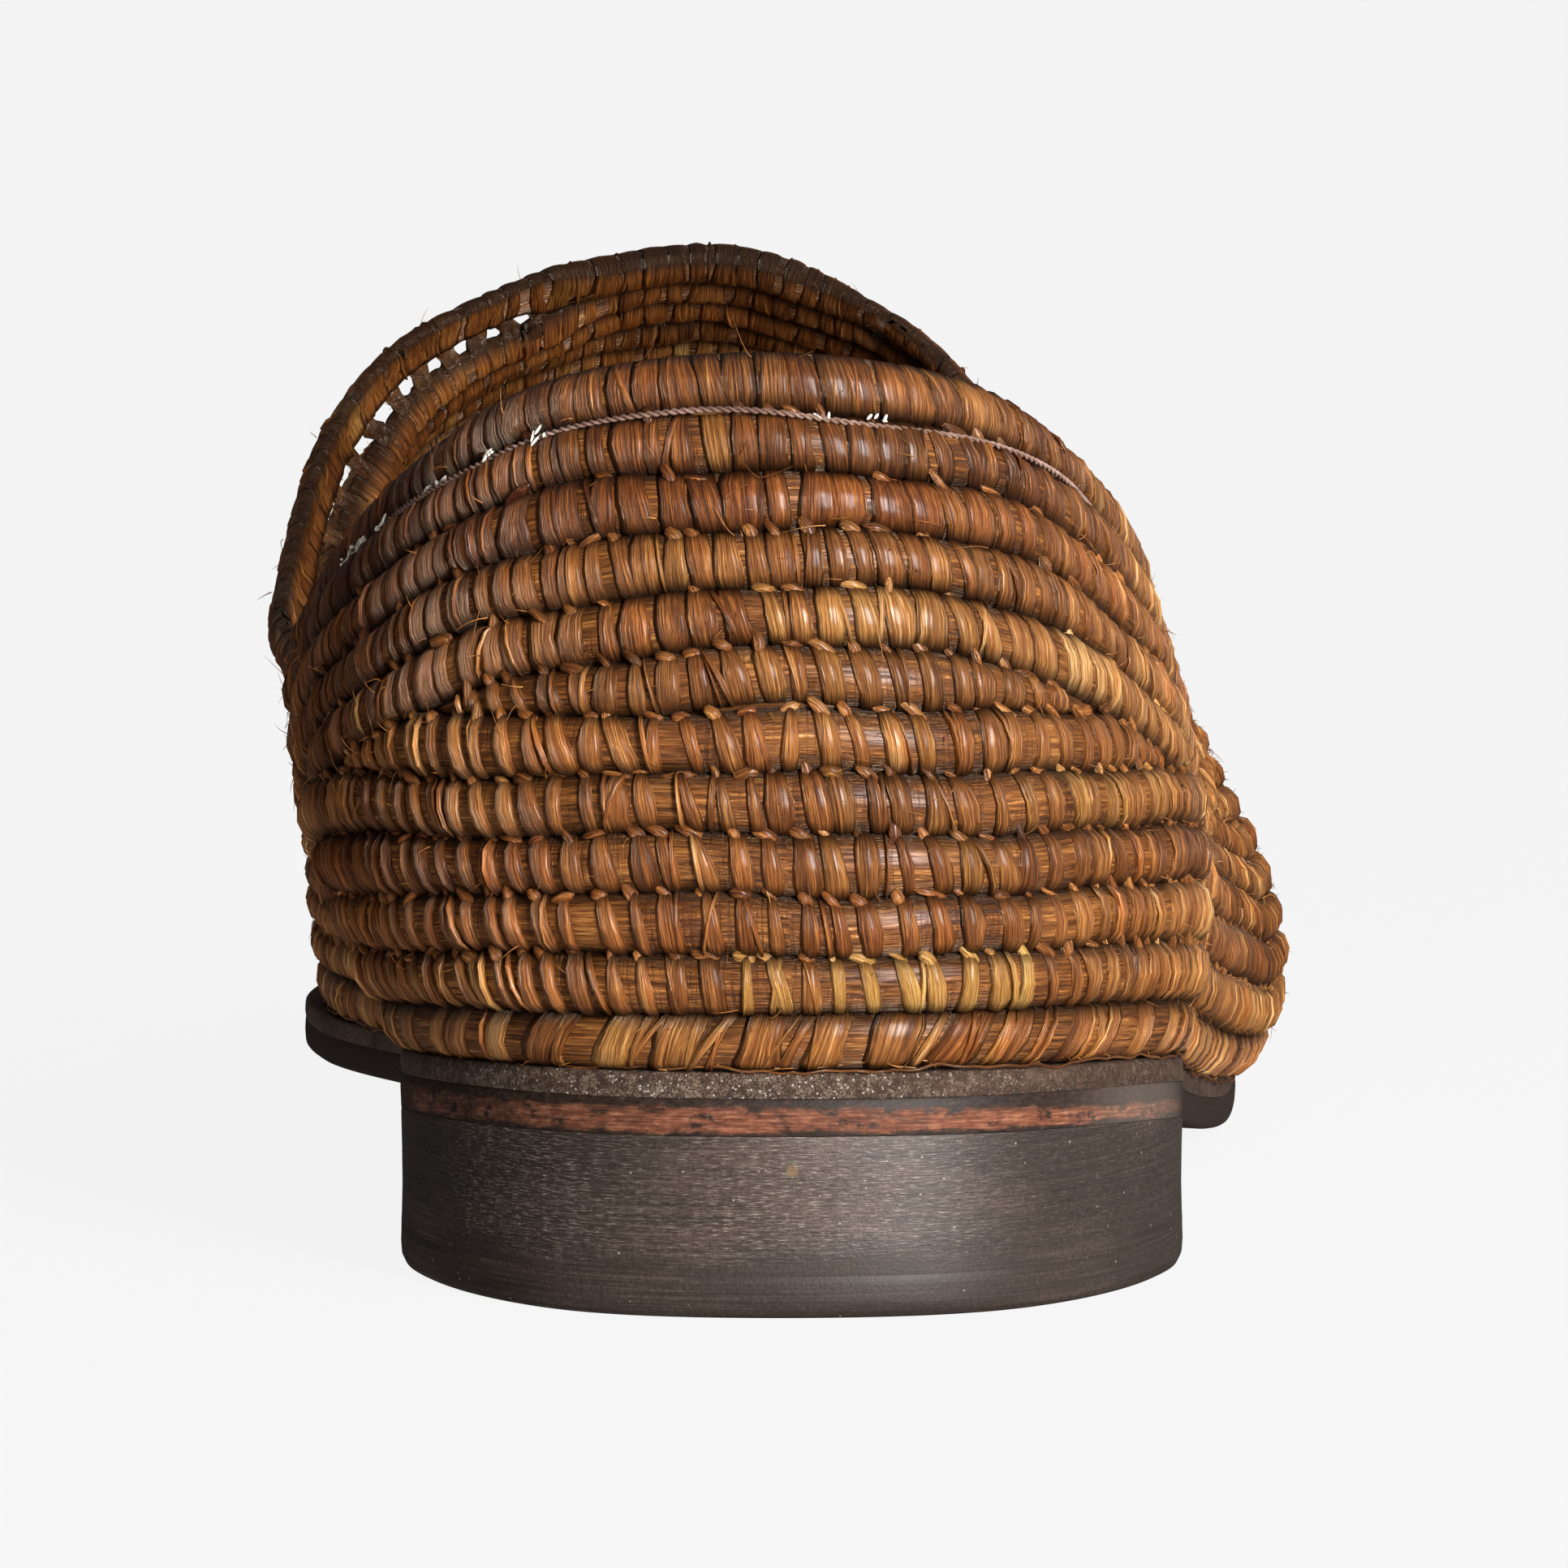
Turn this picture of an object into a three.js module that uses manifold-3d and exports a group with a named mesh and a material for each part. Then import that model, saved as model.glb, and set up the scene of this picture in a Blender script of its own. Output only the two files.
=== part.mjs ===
// Raffia loafer for the right foot, standing empty on its sole.
// Millimetres. +Z is up, +Y runs towards the toe and +X towards the little toe.

import * as THREE from "three";
import { mergeVertices } from "three/addons/utils/BufferGeometryUtils.js";
import Module from "manifold-3d";

const wasm = await Module();
wasm.setup();

// Driving dimensions of the last
const FOOT_LINE_LENGTH = 264; // heel back to toe tip, where the wall meets the sole
const BALL_HALF_WIDTH = 42; // half the width at the ball, on the same line
const INSTEP_HEIGHT = 78.5; // floor to the middle of the throat's rim

// Driving dimensions of the sole and heel
const HEEL_HEIGHT = 13.55; // floor to the underside of the outsole at the heel's back
const SHANK_START = -5; // the slope from heel to tread begins here along the shoe
const TREAD_START = 164; // the flat tread under the ball begins here, on the shoe's axis
const TREAD_SLANT = 28; // and this much further forward on the inner side, back on the outer
const TREAD_END = 198; // and ends here
const TOE_SPRING = 7; // rise of the outsole at the toe tip
const OUTSOLE_THICKNESS = 2.5;
const MIDSOLE_THICKNESS = 1.9;
const INSOLE_THICKNESS = 2.4;
const HEEL_BREAST = 61; // front face of the heel, along the shoe
const LIFT_THICKNESS = 3.2; // the layer that the heel stands on
const LIFT_PROUD = 0.4; // the lift stands out past the stack
const EDGE_ROUND = 0.8; // rounding of the sole's edges
const PIECE_GAP = 0.3; // room between neighbouring pieces

// Driving dimensions of the coiled wall
const COIL_PITCH = 4.4; // height of one coil
const COIL_CREST = 2.0; // middle of the wall to the top of a coil, outside
const COIL_VALLEY = 0.9; // middle of the wall to the groove between two coils
const WALL_INSIDE = 1.7; // middle of the wall to its inner face
const LEAST_COIL = 0.25; // a coil thinner than this share of the pitch has ended
const SECTIONS_PER_STATION = 4;
const INNER_STEPS = 9; // points down the inner face of one section

// Gaps under the rim of the throat, counted in stations round the loop
const GAP_SPANS = [
  { from: 4.9, to: 8.3, count: 11 },
  { from: 11.7, to: 15.1, count: 12 },
];
const GAP_ALONG = 0.85; // half length of a gap along the coil
const GAP_ACROSS = 0.6; // half height of a gap

// The part's origin lies at the bottom centre of its box, at this place on the last
const ORIGIN_ON_LAST = { x: 1.9, y: 132.7 };

// Stations round the last, from the heel's back along the little-toe side.
// Places are shares of the driving dimensions; the handles that shape the wall are millimetres.
const COLUMNS = [
  "footAcross", "footAlong", "rimAcross", "rimAlong", "rimUp",
  "swell", "rise", "reach", "drop", "ledge",
];
const STATIONS = [
  [0.0, 0.015, -0.07, 0.03, 0.9, 5, 16, 6, 18, 1.5], // heel back
  [0.405, 0.034, 0.31, 0.051, 0.868, 4.5, 15, 6, 17, 1.5],
  [0.675, 0.106, 0.565, 0.125, 0.757, 4.5, 14, 4.5, 14, 1.5], // heel, outer side
  [0.735, 0.22, 0.68, 0.231, 0.632, 4, 12, 3.5, 11, 1.2],
  [0.85, 0.348, 0.71, 0.341, 0.572, 7.5, 9, 3, 11, 1], // waist, outer side
  [0.98, 0.473, 0.65, 0.405, 0.632, 11, 9, 4, 11, 0.8],
  [1.035, 0.598, 0.575, 0.447, 0.73, 13, 10, 8, 12, 0.8], // ball, outer side
  [0.94, 0.742, 0.455, 0.472, 0.829, 9, 14, 25, 15, 1.2],
  [0.667, 0.879, 0.298, 0.485, 0.914, 5.5, 19, 43, 21, 1.6],
  [0.286, 0.97, 0.083, 0.49, 0.974, 4, 22, 56, 27, 1.8],
  [-0.095, 1.0, -0.13, 0.492, 1.0, 3, 23, 62, 29, 1.8], // toe tip
  [-0.476, 0.973, -0.355, 0.49, 0.985, 3, 22, 57, 27, 1.8],
  [-0.78, 0.886, -0.583, 0.483, 0.941, 3, 20, 45, 21, 2.2],
  [-0.98, 0.777, -0.762, 0.466, 0.868, 2.5, 18, 33, 16, 3.4],
  [-0.955, 0.667, -0.881, 0.438, 0.757, 2.5, 17, 20, 13, 2.4], // ball, inner side
  [-0.79, 0.515, -0.936, 0.394, 0.638, 3, 15, 6, 11, -0.4],
  [-0.69, 0.367, -0.945, 0.333, 0.566, 4, 12, 2, 10, -0.4], // waist, inner side
  [-0.665, 0.227, -0.869, 0.227, 0.632, 7, 12, 5, 11, 1.2],
  [-0.655, 0.11, -0.714, 0.125, 0.757, 8, 14, 7.5, 14, 1.5], // heel, inner side
  [-0.405, 0.034, -0.44, 0.051, 0.868, 6, 15, 6, 17, 1.5],
].map((row) => Object.fromEntries(COLUMNS.map((name, index) => [name, row[index]])));
const LOOP = STATIONS.length;
const SECTION_COUNT = LOOP * SECTIONS_PER_STATION;
const STEP_ROUND = 1 / SECTIONS_PER_STATION;
const SMALL_STEP = 0.04; // for slopes round the loop

// One column of the table at any place round the loop, as a closed Catmull-Rom curve
function column(name, place) {
  const first = Math.floor(place);
  const t = place - first;
  const value = (step) => STATIONS[(((first + step) % LOOP) + LOOP) % LOOP][name];
  const [a, b, c, d] = [value(-1), value(0), value(1), value(2)];
  const linear = c - a;
  const square = 2 * a - 5 * b + 4 * c - d;
  const cube = 3 * b - a - 3 * c + d;
  return b + 0.5 * t * (linear + t * (square + t * cube));
}

// Height of the outsole's underside above the floor
function underside({ x, y }) {
  const treadStart = TREAD_START - (TREAD_SLANT * x) / BALL_HALF_WIDTH;
  const heelShare = 1 - THREE.MathUtils.smoothstep(y, SHANK_START, treadStart);
  const toeShare = Math.max(0, y - TREAD_END) / (FOOT_LINE_LENGTH - TREAD_END);
  return HEEL_HEIGHT * heelShare + TOE_SPRING * toeShare * toeShare;
}

// Heights of the sole's layers, one on another
const outsoleTop = (plan) => underside(plan) + OUTSOLE_THICKNESS;
const midsoleUnder = (plan) => outsoleTop(plan) + PIECE_GAP;
const midsoleTop = (plan) => midsoleUnder(plan) + MIDSOLE_THICKNESS;
const insoleUnder = (plan) => midsoleTop(plan) + PIECE_GAP;
const insoleTop = (plan) => insoleUnder(plan) + INSOLE_THICKNESS;

// Plan of the foot line, and its outward direction
function footPlan(place) {
  const x = column("footAcross", place) * BALL_HALF_WIDTH;
  const y = column("footAlong", place) * FOOT_LINE_LENGTH;
  return new THREE.Vector3(x, y, 0);
}

function outward(place) {
  const run = footPlan(place + SMALL_STEP).sub(footPlan(place - SMALL_STEP));
  return new THREE.Vector3(run.y, -run.x, 0).normalize();
}

// One line of the wall, from the rim down to the foot line
function makeWallLine(place) {
  const out = outward(place);
  const foot = footPlan(place);
  foot.z = insoleUnder(foot);
  const rim = new THREE.Vector3(
    column("rimAcross", place) * BALL_HALF_WIDTH,
    column("rimAlong", place) * FOOT_LINE_LENGTH,
    column("rimUp", place) * INSTEP_HEIGHT,
  );
  const lead = foot.clone().sub(rim).setZ(0).addScaledVector(out, 10).normalize();
  const upperHandle = rim.clone().addScaledVector(lead, column("reach", place));
  upperHandle.z -= column("drop", place);
  const lowerHandle = foot.clone().addScaledVector(out, column("swell", place));
  lowerHandle.z += column("rise", place);
  return new THREE.CubicBezierCurve3(rim, upperHandle, lowerHandle, foot);
}

// A section of the wall: points on it are found by their distance below the rim
class WallSection {
  constructor(place) {
    this.line = makeWallLine(place);
    this.ahead = makeWallLine(place + SMALL_STEP);
    this.behind = makeWallLine(place - SMALL_STEP);
    this.height = this.line.getLength();
  }

  normal(below) {
    const share = below / this.height;
    const run = this.ahead.getPointAt(share).sub(this.behind.getPointAt(share));
    return this.line.getTangentAt(share).cross(run).normalize();
  }

  point(below, offset) {
    return this.line.getPointAt(below / this.height).addScaledVector(this.normal(below), offset);
  }
}

const sections = Array.from(
  { length: SECTION_COUNT },
  (_, index) => new WallSection(index * STEP_ROUND),
);

// Coils of a section of a given height, from the rim down.
// Even coils are laid down from the rim and odd ones up from the foot; a new one starts between them.
function coilRows(height) {
  const amount = height / COIL_PITCH;
  const whole = Math.floor(amount);
  const count = amount - whole > LEAST_COIL ? whole + 1 : whole;
  const shares = Array.from({ length: count }, (_, coil) => Math.min(1, amount - coil));
  const stretch = height / shares.reduce((sum, share) => sum + share, 0);
  const coils = Array.from({ length: count }, (_, coil) => coil);
  const fromRim = coils.filter((coil) => coil % 2 === 0);
  const fromFoot = coils.filter((coil) => coil % 2 === 1).reverse();
  return [...fromRim, ...fromFoot].map((coil, index) => ({
    coil,
    share: Math.min(1, shares[coil]),
    width: shares[coil] * stretch,
    lowerEdge: index < fromRim.length ? `edge ${coil}` : `edge ${coil - 2}`,
  }));
}

// Named points down the outside of a section: a crest for each coil and a groove under it
function outerPoints(section) {
  const height = section.height - COIL_PITCH;
  const points = [{ name: "rim", at: section.point(0, 0) }];
  let below = 0;
  for (const { coil, share, width, lowerEdge } of coilRows(height)) {
    const crest = COIL_VALLEY + (COIL_CREST - COIL_VALLEY) * share;
    points.push({ name: `crest ${coil}`, at: section.point(below + width / 2, crest) });
    below += width;
    points.push({ name: lowerEdge, at: section.point(below - PIECE_GAP / 2, COIL_VALLEY) });
  }
  points.at(-1).name = "foot";
  return points;
}

// Points down the inside of a section
function innerPoints(section) {
  const start = COIL_PITCH / 2;
  const end = section.height - COIL_PITCH - PIECE_GAP / 2;
  const step = (end - start) / (INNER_STEPS - 1);
  return Array.from(
    { length: INNER_STEPS },
    (_, index) => section.point(start + step * index, -WALL_INSIDE),
  );
}

// Collects triangles given by their corners
class Facets {
  constructor() {
    this.corners = [];
  }

  triangle(a, b, c) {
    this.corners.push(a.x, a.y, a.z, b.x, b.y, b.z, c.x, c.y, c.z);
  }

  quad(a, b, c, d) {
    this.triangle(a, b, c);
    this.triangle(a, c, d);
  }

  geometry() {
    const loose = new THREE.BufferGeometry();
    loose.setAttribute("position", new THREE.Float32BufferAttribute(this.corners, 3));
    return mergeVertices(loose, 1e-5);
  }
}

// Faces between two lists of named points; a point that only one list has fans out from the other list
function zip(facets, left, right) {
  const leftNames = new Set(left.map((entry) => entry.name));
  const rightNames = new Set(right.map((entry) => entry.name));
  let i = 0;
  let j = 0;
  while (i < left.length - 1 || j < right.length - 1) {
    const nextLeft = left[i + 1];
    const nextRight = right[j + 1];
    const leftAlone = nextLeft && !rightNames.has(nextLeft.name);
    const rightAlone = nextRight && !leftNames.has(nextRight.name);
    if (leftAlone) {
      facets.triangle(left[i].at, nextLeft.at, right[j].at);
      i += 1;
    } else if (rightAlone) {
      facets.triangle(left[i].at, nextRight.at, right[j].at);
      j += 1;
    } else {
      facets.quad(left[i].at, nextLeft.at, nextRight.at, right[j].at);
      i += 1;
      j += 1;
    }
  }
}

// The hollow wall, before the gaps are cut
function wallGeometry() {
  const facets = new Facets();
  const outer = sections.map(outerPoints);
  const inner = sections.map(innerPoints);
  for (let index = 0; index < SECTION_COUNT; index += 1) {
    const next = (index + 1) % SECTION_COUNT;
    const [outerHere, outerNext] = [outer[index], outer[next]];
    const [innerHere, innerNext] = [inner[index], inner[next]];
    zip(facets, outerHere, outerNext);
    for (let step = 0; step < INNER_STEPS - 1; step += 1) {
      facets.quad(innerHere[step], innerNext[step], innerNext[step + 1], innerHere[step + 1]);
    }
    facets.quad(outerHere[0].at, outerNext[0].at, innerNext[0], innerHere[0]);
    const last = INNER_STEPS - 1;
    facets.quad(outerHere.at(-1).at, innerHere[last], innerNext[last], outerNext.at(-1).at);
  }
  return facets.geometry();
}

// Solids for cutting
function toSolid(geometry) {
  const shape = geometry.clone();
  shape.deleteAttribute("normal");
  shape.deleteAttribute("uv");
  const merged = mergeVertices(shape, 1e-5);
  return new wasm.Manifold(new wasm.Mesh({
    numProp: 3,
    vertProperties: new Float32Array(merged.attributes.position.array),
    triVerts: new Uint32Array(merged.index.array),
  }));
}

function fromSolid(solid) {
  const mesh = solid.getMesh();
  const geometry = new THREE.BufferGeometry();
  geometry.setAttribute("position", new THREE.BufferAttribute(mesh.vertProperties, mesh.numProp));
  geometry.setIndex(new THREE.BufferAttribute(mesh.triVerts, 1));
  return geometry;
}

// A cutter for one gap, in the first groove under the rim
function gapCutter(place) {
  const section = new WallSection(place);
  const centre = section.point(COIL_PITCH, 0);
  const normal = section.normal(COIL_PITCH);
  const down = section.line.getTangentAt(COIL_PITCH / section.height);
  const cutter = new THREE.CylinderGeometry(1, 1, 4 * COIL_CREST, 6);
  cutter.scale(GAP_ALONG, 1, GAP_ACROSS);
  const run = normal.clone().cross(down);
  cutter.applyMatrix4(new THREE.Matrix4().makeBasis(run, normal, down).setPosition(centre));
  return cutter;
}

function upperGeometry() {
  let wall = toSolid(wallGeometry());
  for (const { from, to, count } of GAP_SPANS) {
    for (let index = 0; index < count; index += 1) {
      const place = from + ((to - from) * index) / (count - 1);
      wall = wall.subtract(toSolid(gapCutter(place)));
    }
  }
  return fromSolid(wall);
}

// The wrapped rope under the wall: a ring with a six-sided section
function foundationGeometry() {
  const SIDES = 6;
  const halfHeight = COIL_PITCH / 2 - PIECE_GAP / 2;
  const rings = sections.map((section) => {
    const middle = section.height - COIL_PITCH / 2;
    return Array.from({ length: SIDES }, (_, side) => {
      const angle = (side / SIDES) * 2 * Math.PI + Math.PI / SIDES;
      const below = middle - Math.sin(angle) * halfHeight;
      return section.point(below, Math.cos(angle) * COIL_CREST);
    });
  });
  const facets = new Facets();
  rings.forEach((ring, index) => {
    const next = rings[(index + 1) % rings.length];
    for (let side = 0; side < SIDES; side += 1) {
      const above = (side + 1) % SIDES;
      facets.quad(ring[above], ring[side], next[side], next[above]);
    }
  });
  return facets.geometry();
}

// A layer made of rings from top to bottom, closed by a ladder of faces across its first and last ring
function layerGeometry(rings) {
  const facets = new Facets();
  const count = rings[0].length;
  for (let level = 0; level < rings.length - 1; level += 1) {
    const [top, low] = [rings[level], rings[level + 1]];
    for (let index = 0; index < count; index += 1) {
      const next = (index + 1) % count;
      facets.quad(top[index], low[index], low[next], top[next]);
    }
  }
  const [top, low] = [rings[0], rings.at(-1)];
  for (let index = 0; index < count / 2; index += 1) {
    const [a, b] = [index, index + 1];
    const [c, d] = [(count - index - 1) % count, (count - index) % count];
    if (b <= c) {
      facets.triangle(top[a], top[b], top[c]);
      facets.triangle(low[a], low[c], low[b]);
    }
    if (a !== d && a < c) {
      facets.triangle(top[a], top[c], top[d]);
      facets.triangle(low[a], low[d], low[c]);
    }
  }
  return facets.geometry();
}

// A ring that follows the sole's edge, moved outward by a distance, at a height that depends on its plan
function edgeRing(places, shift, height) {
  return places.map((place) => {
    const point = footPlan(place).addScaledVector(outward(place), column("ledge", place) + shift);
    point.z = height(point);
    return point;
  });
}

// A ring that follows the foot line, for the insole
function innerRing(places, shift, height) {
  return places.map((place) => {
    const point = footPlan(place).addScaledVector(outward(place), -shift);
    point.z = height(point);
    return point;
  });
}

const allPlaces = sections.map((_, index) => index * STEP_ROUND);

function outsoleGeometry() {
  const low = (plan) => underside(plan) + EDGE_ROUND;
  return layerGeometry([
    edgeRing(allPlaces, 0, outsoleTop),
    edgeRing(allPlaces, 0, low),
    edgeRing(allPlaces, -EDGE_ROUND, underside),
  ]);
}

function midsoleGeometry() {
  const high = (plan) => midsoleTop(plan) - EDGE_ROUND / 2;
  return layerGeometry([
    edgeRing(allPlaces, -EDGE_ROUND / 2, midsoleTop),
    edgeRing(allPlaces, 0, high),
    edgeRing(allPlaces, 0, midsoleUnder),
  ]);
}

function insoleGeometry() {
  const shift = COIL_CREST + 2 * PIECE_GAP;
  return layerGeometry([
    innerRing(allPlaces, shift, insoleTop),
    innerRing(allPlaces, shift, insoleUnder),
  ]);
}

// Places on the heel's part of the loop, from the back to the breast on one side and back on the other
function heelPlaces() {
  const PER_SIDE = 16;
  const reachBreast = (sign) => {
    let place = 0;
    while (footPlan(place).y < HEEL_BREAST) {
      place += sign * 0.002;
    }
    return place;
  };
  const outer = reachBreast(1);
  const inner = reachBreast(-1);
  const outerSide = Array.from({ length: PER_SIDE + 1 }, (_, index) => (outer * index) / PER_SIDE);
  const innerSide = Array.from({ length: PER_SIDE }, (_, index) => inner * (1 - index / PER_SIDE));
  return [...outerSide, ...innerSide];
}

function heelStackGeometry(places) {
  const top = (plan) => underside(plan) - PIECE_GAP;
  const low = () => LIFT_THICKNESS + PIECE_GAP;
  return layerGeometry([edgeRing(places, 0, top), edgeRing(places, -0.3, low)]);
}

function heelLiftGeometry(places) {
  return layerGeometry([
    edgeRing(places, LIFT_PROUD - 0.3, () => LIFT_THICKNESS),
    edgeRing(places, LIFT_PROUD, () => LIFT_THICKNESS / 2),
    edgeRing(places, LIFT_PROUD - 0.5, () => 0),
  ]);
}

// Materials
const raffia = new THREE.MeshStandardMaterial({ color: "#8a5a36", roughness: 0.6, name: "raffia" });
const rope = new THREE.MeshStandardMaterial({ color: "#7a4e32", roughness: 0.6, name: "raffia" });
const leather = new THREE.MeshStandardMaterial({ color: "#9a6a43", roughness: 0.6, name: "tan leather" });
const greyEdge = new THREE.MeshStandardMaterial({ color: "#5a4a40", roughness: 0.8, name: "sole leather" });
const copperEdge = new THREE.MeshStandardMaterial({ color: "#8a5238", roughness: 0.6, name: "sole leather" });
const darkStack = new THREE.MeshStandardMaterial({ color: "#3c322d", roughness: 0.4, name: "dark leather" });
const rubber = new THREE.MeshStandardMaterial({ color: "#3a3532", roughness: 0.8, name: "rubber" });

// The assembly
const shoe = new THREE.Group();
shoe.name = "raffia_loafer";

function addPiece(name, geometry, material) {
  geometry.translate(-ORIGIN_ON_LAST.x, -ORIGIN_ON_LAST.y, 0);
  const piece = new THREE.Mesh(geometry, material);
  piece.name = name;
  shoe.add(piece);
}

const heelLoop = heelPlaces();
addPiece("upper", upperGeometry(), raffia);
addPiece("foundation_coil", foundationGeometry(), rope);
addPiece("insole", insoleGeometry(), leather);
addPiece("midsole", midsoleGeometry(), greyEdge);
addPiece("outsole", outsoleGeometry(), copperEdge);
addPiece("heel_stack", heelStackGeometry(heelLoop), darkStack);
addPiece("heel_lift", heelLiftGeometry(heelLoop), rubber);

export default shoe;
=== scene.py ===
# %% [markdown]
# # A raffia loafer for the right foot
# The upper of this slip-on is basketry. A soft rope of plant fibre runs round the foot in rows, and a strip
# of raffia is wound over each row and caught in the row above it. A wrapped rope carries the wall on a thin
# midsole, an outsole and a stacked heel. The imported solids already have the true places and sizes. This
# lesson lays the fibre, the leather edges and the wear over them, in the same frame and in metres.

# %% Load the frame
import math

import bmesh
import bpy
import numpy as np
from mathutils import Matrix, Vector


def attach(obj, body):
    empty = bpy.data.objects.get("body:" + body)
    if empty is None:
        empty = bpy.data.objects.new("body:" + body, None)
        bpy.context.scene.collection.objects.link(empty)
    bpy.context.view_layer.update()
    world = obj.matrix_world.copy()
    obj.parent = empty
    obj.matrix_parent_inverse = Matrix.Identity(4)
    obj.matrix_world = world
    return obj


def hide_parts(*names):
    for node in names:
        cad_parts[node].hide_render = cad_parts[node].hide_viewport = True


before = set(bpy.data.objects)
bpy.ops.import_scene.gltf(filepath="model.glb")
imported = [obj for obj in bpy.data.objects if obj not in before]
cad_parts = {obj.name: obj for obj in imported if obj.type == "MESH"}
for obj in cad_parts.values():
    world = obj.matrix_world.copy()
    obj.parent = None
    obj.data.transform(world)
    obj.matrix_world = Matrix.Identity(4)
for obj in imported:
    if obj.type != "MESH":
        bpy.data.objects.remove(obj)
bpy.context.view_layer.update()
chance = np.random.default_rng(27)
print("solids:", ", ".join(sorted(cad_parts)))

# %% [markdown]
# ## The camera
# The picture was taken from behind the heel with a long lens, a little above the collar. A focal length
# given in pixels becomes a lens in millimetres once the width of the frame is known, so the same view is
# framed closer by counting fewer pixels across. The camera simply looks at the middle of the shoe.

# %% Place the camera
FOCAL_PIXELS = 4906
FRAMED_PIXELS = 1070
SENSOR_WIDTH = 36
CAMERA_PLACE = (-0.0117, -0.6537, 0.076)
CAMERA_TILT = 86.0
CAMERA_TURN = -1.01

camera_data = bpy.data.cameras.new("camera")
camera_data.sensor_width = SENSOR_WIDTH
camera_data.lens = SENSOR_WIDTH * FOCAL_PIXELS / FRAMED_PIXELS
camera = bpy.data.objects.new("camera", camera_data)
camera.location = CAMERA_PLACE
camera.rotation_euler = (math.radians(CAMERA_TILT), 0, math.radians(CAMERA_TURN))
bpy.context.scene.collection.objects.link(camera)
bpy.context.scene.camera = camera
print("lens:", round(camera_data.lens, 1), "mm")

# %% [markdown]
# ## The last
# A shoe is built over a last, the wooden shape of the foot. The solids come from a table of twenty stations
# round the last, joined by a smooth closed curve, and the same table is repeated here so that every strip
# of raffia finds its place on the wall. Positions are shares of the driving sizes, and the last five columns
# are millimetres that bend the wall and set the sole's edge.

# %% Table of the last
FOOT_LINE_LENGTH = 264
BALL_HALF_WIDTH = 42
INSTEP_HEIGHT = 78.5
ORIGIN_ON_LAST = np.array([1.9, 132.7, 0])
SMALL_STEP = 0.04
MM = 0.001

COLUMNS = [
    "foot_across", "foot_along", "rim_across", "rim_along", "rim_up",
    "swell", "rise", "reach", "drop", "ledge",
]
STATIONS = np.array([
    [0.0, 0.015, -0.07, 0.03, 0.9, 5, 16, 6, 18, 1.5],
    [0.405, 0.034, 0.31, 0.051, 0.868, 4.5, 15, 6, 17, 1.5],
    [0.675, 0.106, 0.565, 0.125, 0.757, 4.5, 14, 4.5, 14, 1.5],
    [0.735, 0.22, 0.68, 0.231, 0.632, 4, 12, 3.5, 11, 1.2],
    [0.85, 0.348, 0.71, 0.341, 0.572, 7.5, 9, 3, 11, 1],
    [0.98, 0.473, 0.65, 0.405, 0.632, 11, 9, 4, 11, 0.8],
    [1.035, 0.598, 0.575, 0.447, 0.73, 13, 10, 8, 12, 0.8],
    [0.94, 0.742, 0.455, 0.472, 0.829, 9, 14, 25, 15, 1.2],
    [0.667, 0.879, 0.298, 0.485, 0.914, 5.5, 19, 43, 21, 1.6],
    [0.286, 0.97, 0.083, 0.49, 0.974, 4, 22, 56, 27, 1.8],
    [-0.095, 1.0, -0.13, 0.492, 1.0, 3, 23, 62, 29, 1.8],
    [-0.476, 0.973, -0.355, 0.49, 0.985, 3, 22, 57, 27, 1.8],
    [-0.78, 0.886, -0.583, 0.483, 0.941, 3, 20, 45, 21, 2.2],
    [-0.98, 0.777, -0.762, 0.466, 0.868, 2.5, 18, 33, 16, 3.4],
    [-0.955, 0.667, -0.881, 0.438, 0.757, 2.5, 17, 20, 13, 2.4],
    [-0.79, 0.515, -0.936, 0.394, 0.638, 3, 15, 6, 11, -0.4],
    [-0.69, 0.367, -0.945, 0.333, 0.566, 4, 12, 2, 10, -0.4],
    [-0.665, 0.227, -0.869, 0.227, 0.632, 7, 12, 5, 11, 1.2],
    [-0.655, 0.11, -0.714, 0.125, 0.757, 8, 14, 7.5, 14, 1.5],
    [-0.405, 0.034, -0.44, 0.051, 0.868, 6, 15, 6, 17, 1.5],
])
LOOP = len(STATIONS)


def column(name, place):
    """One column of the table at places round the loop, as a closed smooth curve."""
    table = STATIONS[:, COLUMNS.index(name)]
    first = np.floor(place).astype(int)
    t = place - first
    a, b, c, d = (table[(first + step) % LOOP] for step in (-1, 0, 1, 2))
    linear = c - a
    square = 2 * a - 5 * b + 4 * c - d
    cube = 3 * b - a - 3 * c + d
    return b + 0.5 * t * (linear + t * (square + t * cube))


def unit(vectors):
    """The same directions with length one."""
    return vectors / np.maximum(np.linalg.norm(vectors, axis=-1, keepdims=True), 1e-9)


def foot_plan(place):
    """Plan of the line where the wall meets the sole."""
    across = column("foot_across", place) * BALL_HALF_WIDTH
    along = column("foot_along", place) * FOOT_LINE_LENGTH
    return np.stack([across, along], -1)


def outward(place):
    """Plan direction that points out of the shoe, square to its outline."""
    run = foot_plan(place + SMALL_STEP) - foot_plan(place - SMALL_STEP)
    return unit(np.stack([run[..., 1], -run[..., 0]], -1))


print("stations round the last:", LOOP)

# %% [markdown]
# ## Heights of the sole
# The sole is flat under the ball, climbs to the heel and lifts a little at the toe. Each layer lies on the
# one below it, so one curve for the underside gives them all.

# %% Layer heights
HEEL_HEIGHT = 13.55
SHANK_START = -5
TREAD_START = 164
TREAD_SLANT = 28
TREAD_END = 198
TOE_SPRING = 7
OUTSOLE_THICKNESS = 2.5
MIDSOLE_THICKNESS = 1.9
INSOLE_THICKNESS = 2.4
PIECE_GAP = 0.3


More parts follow.
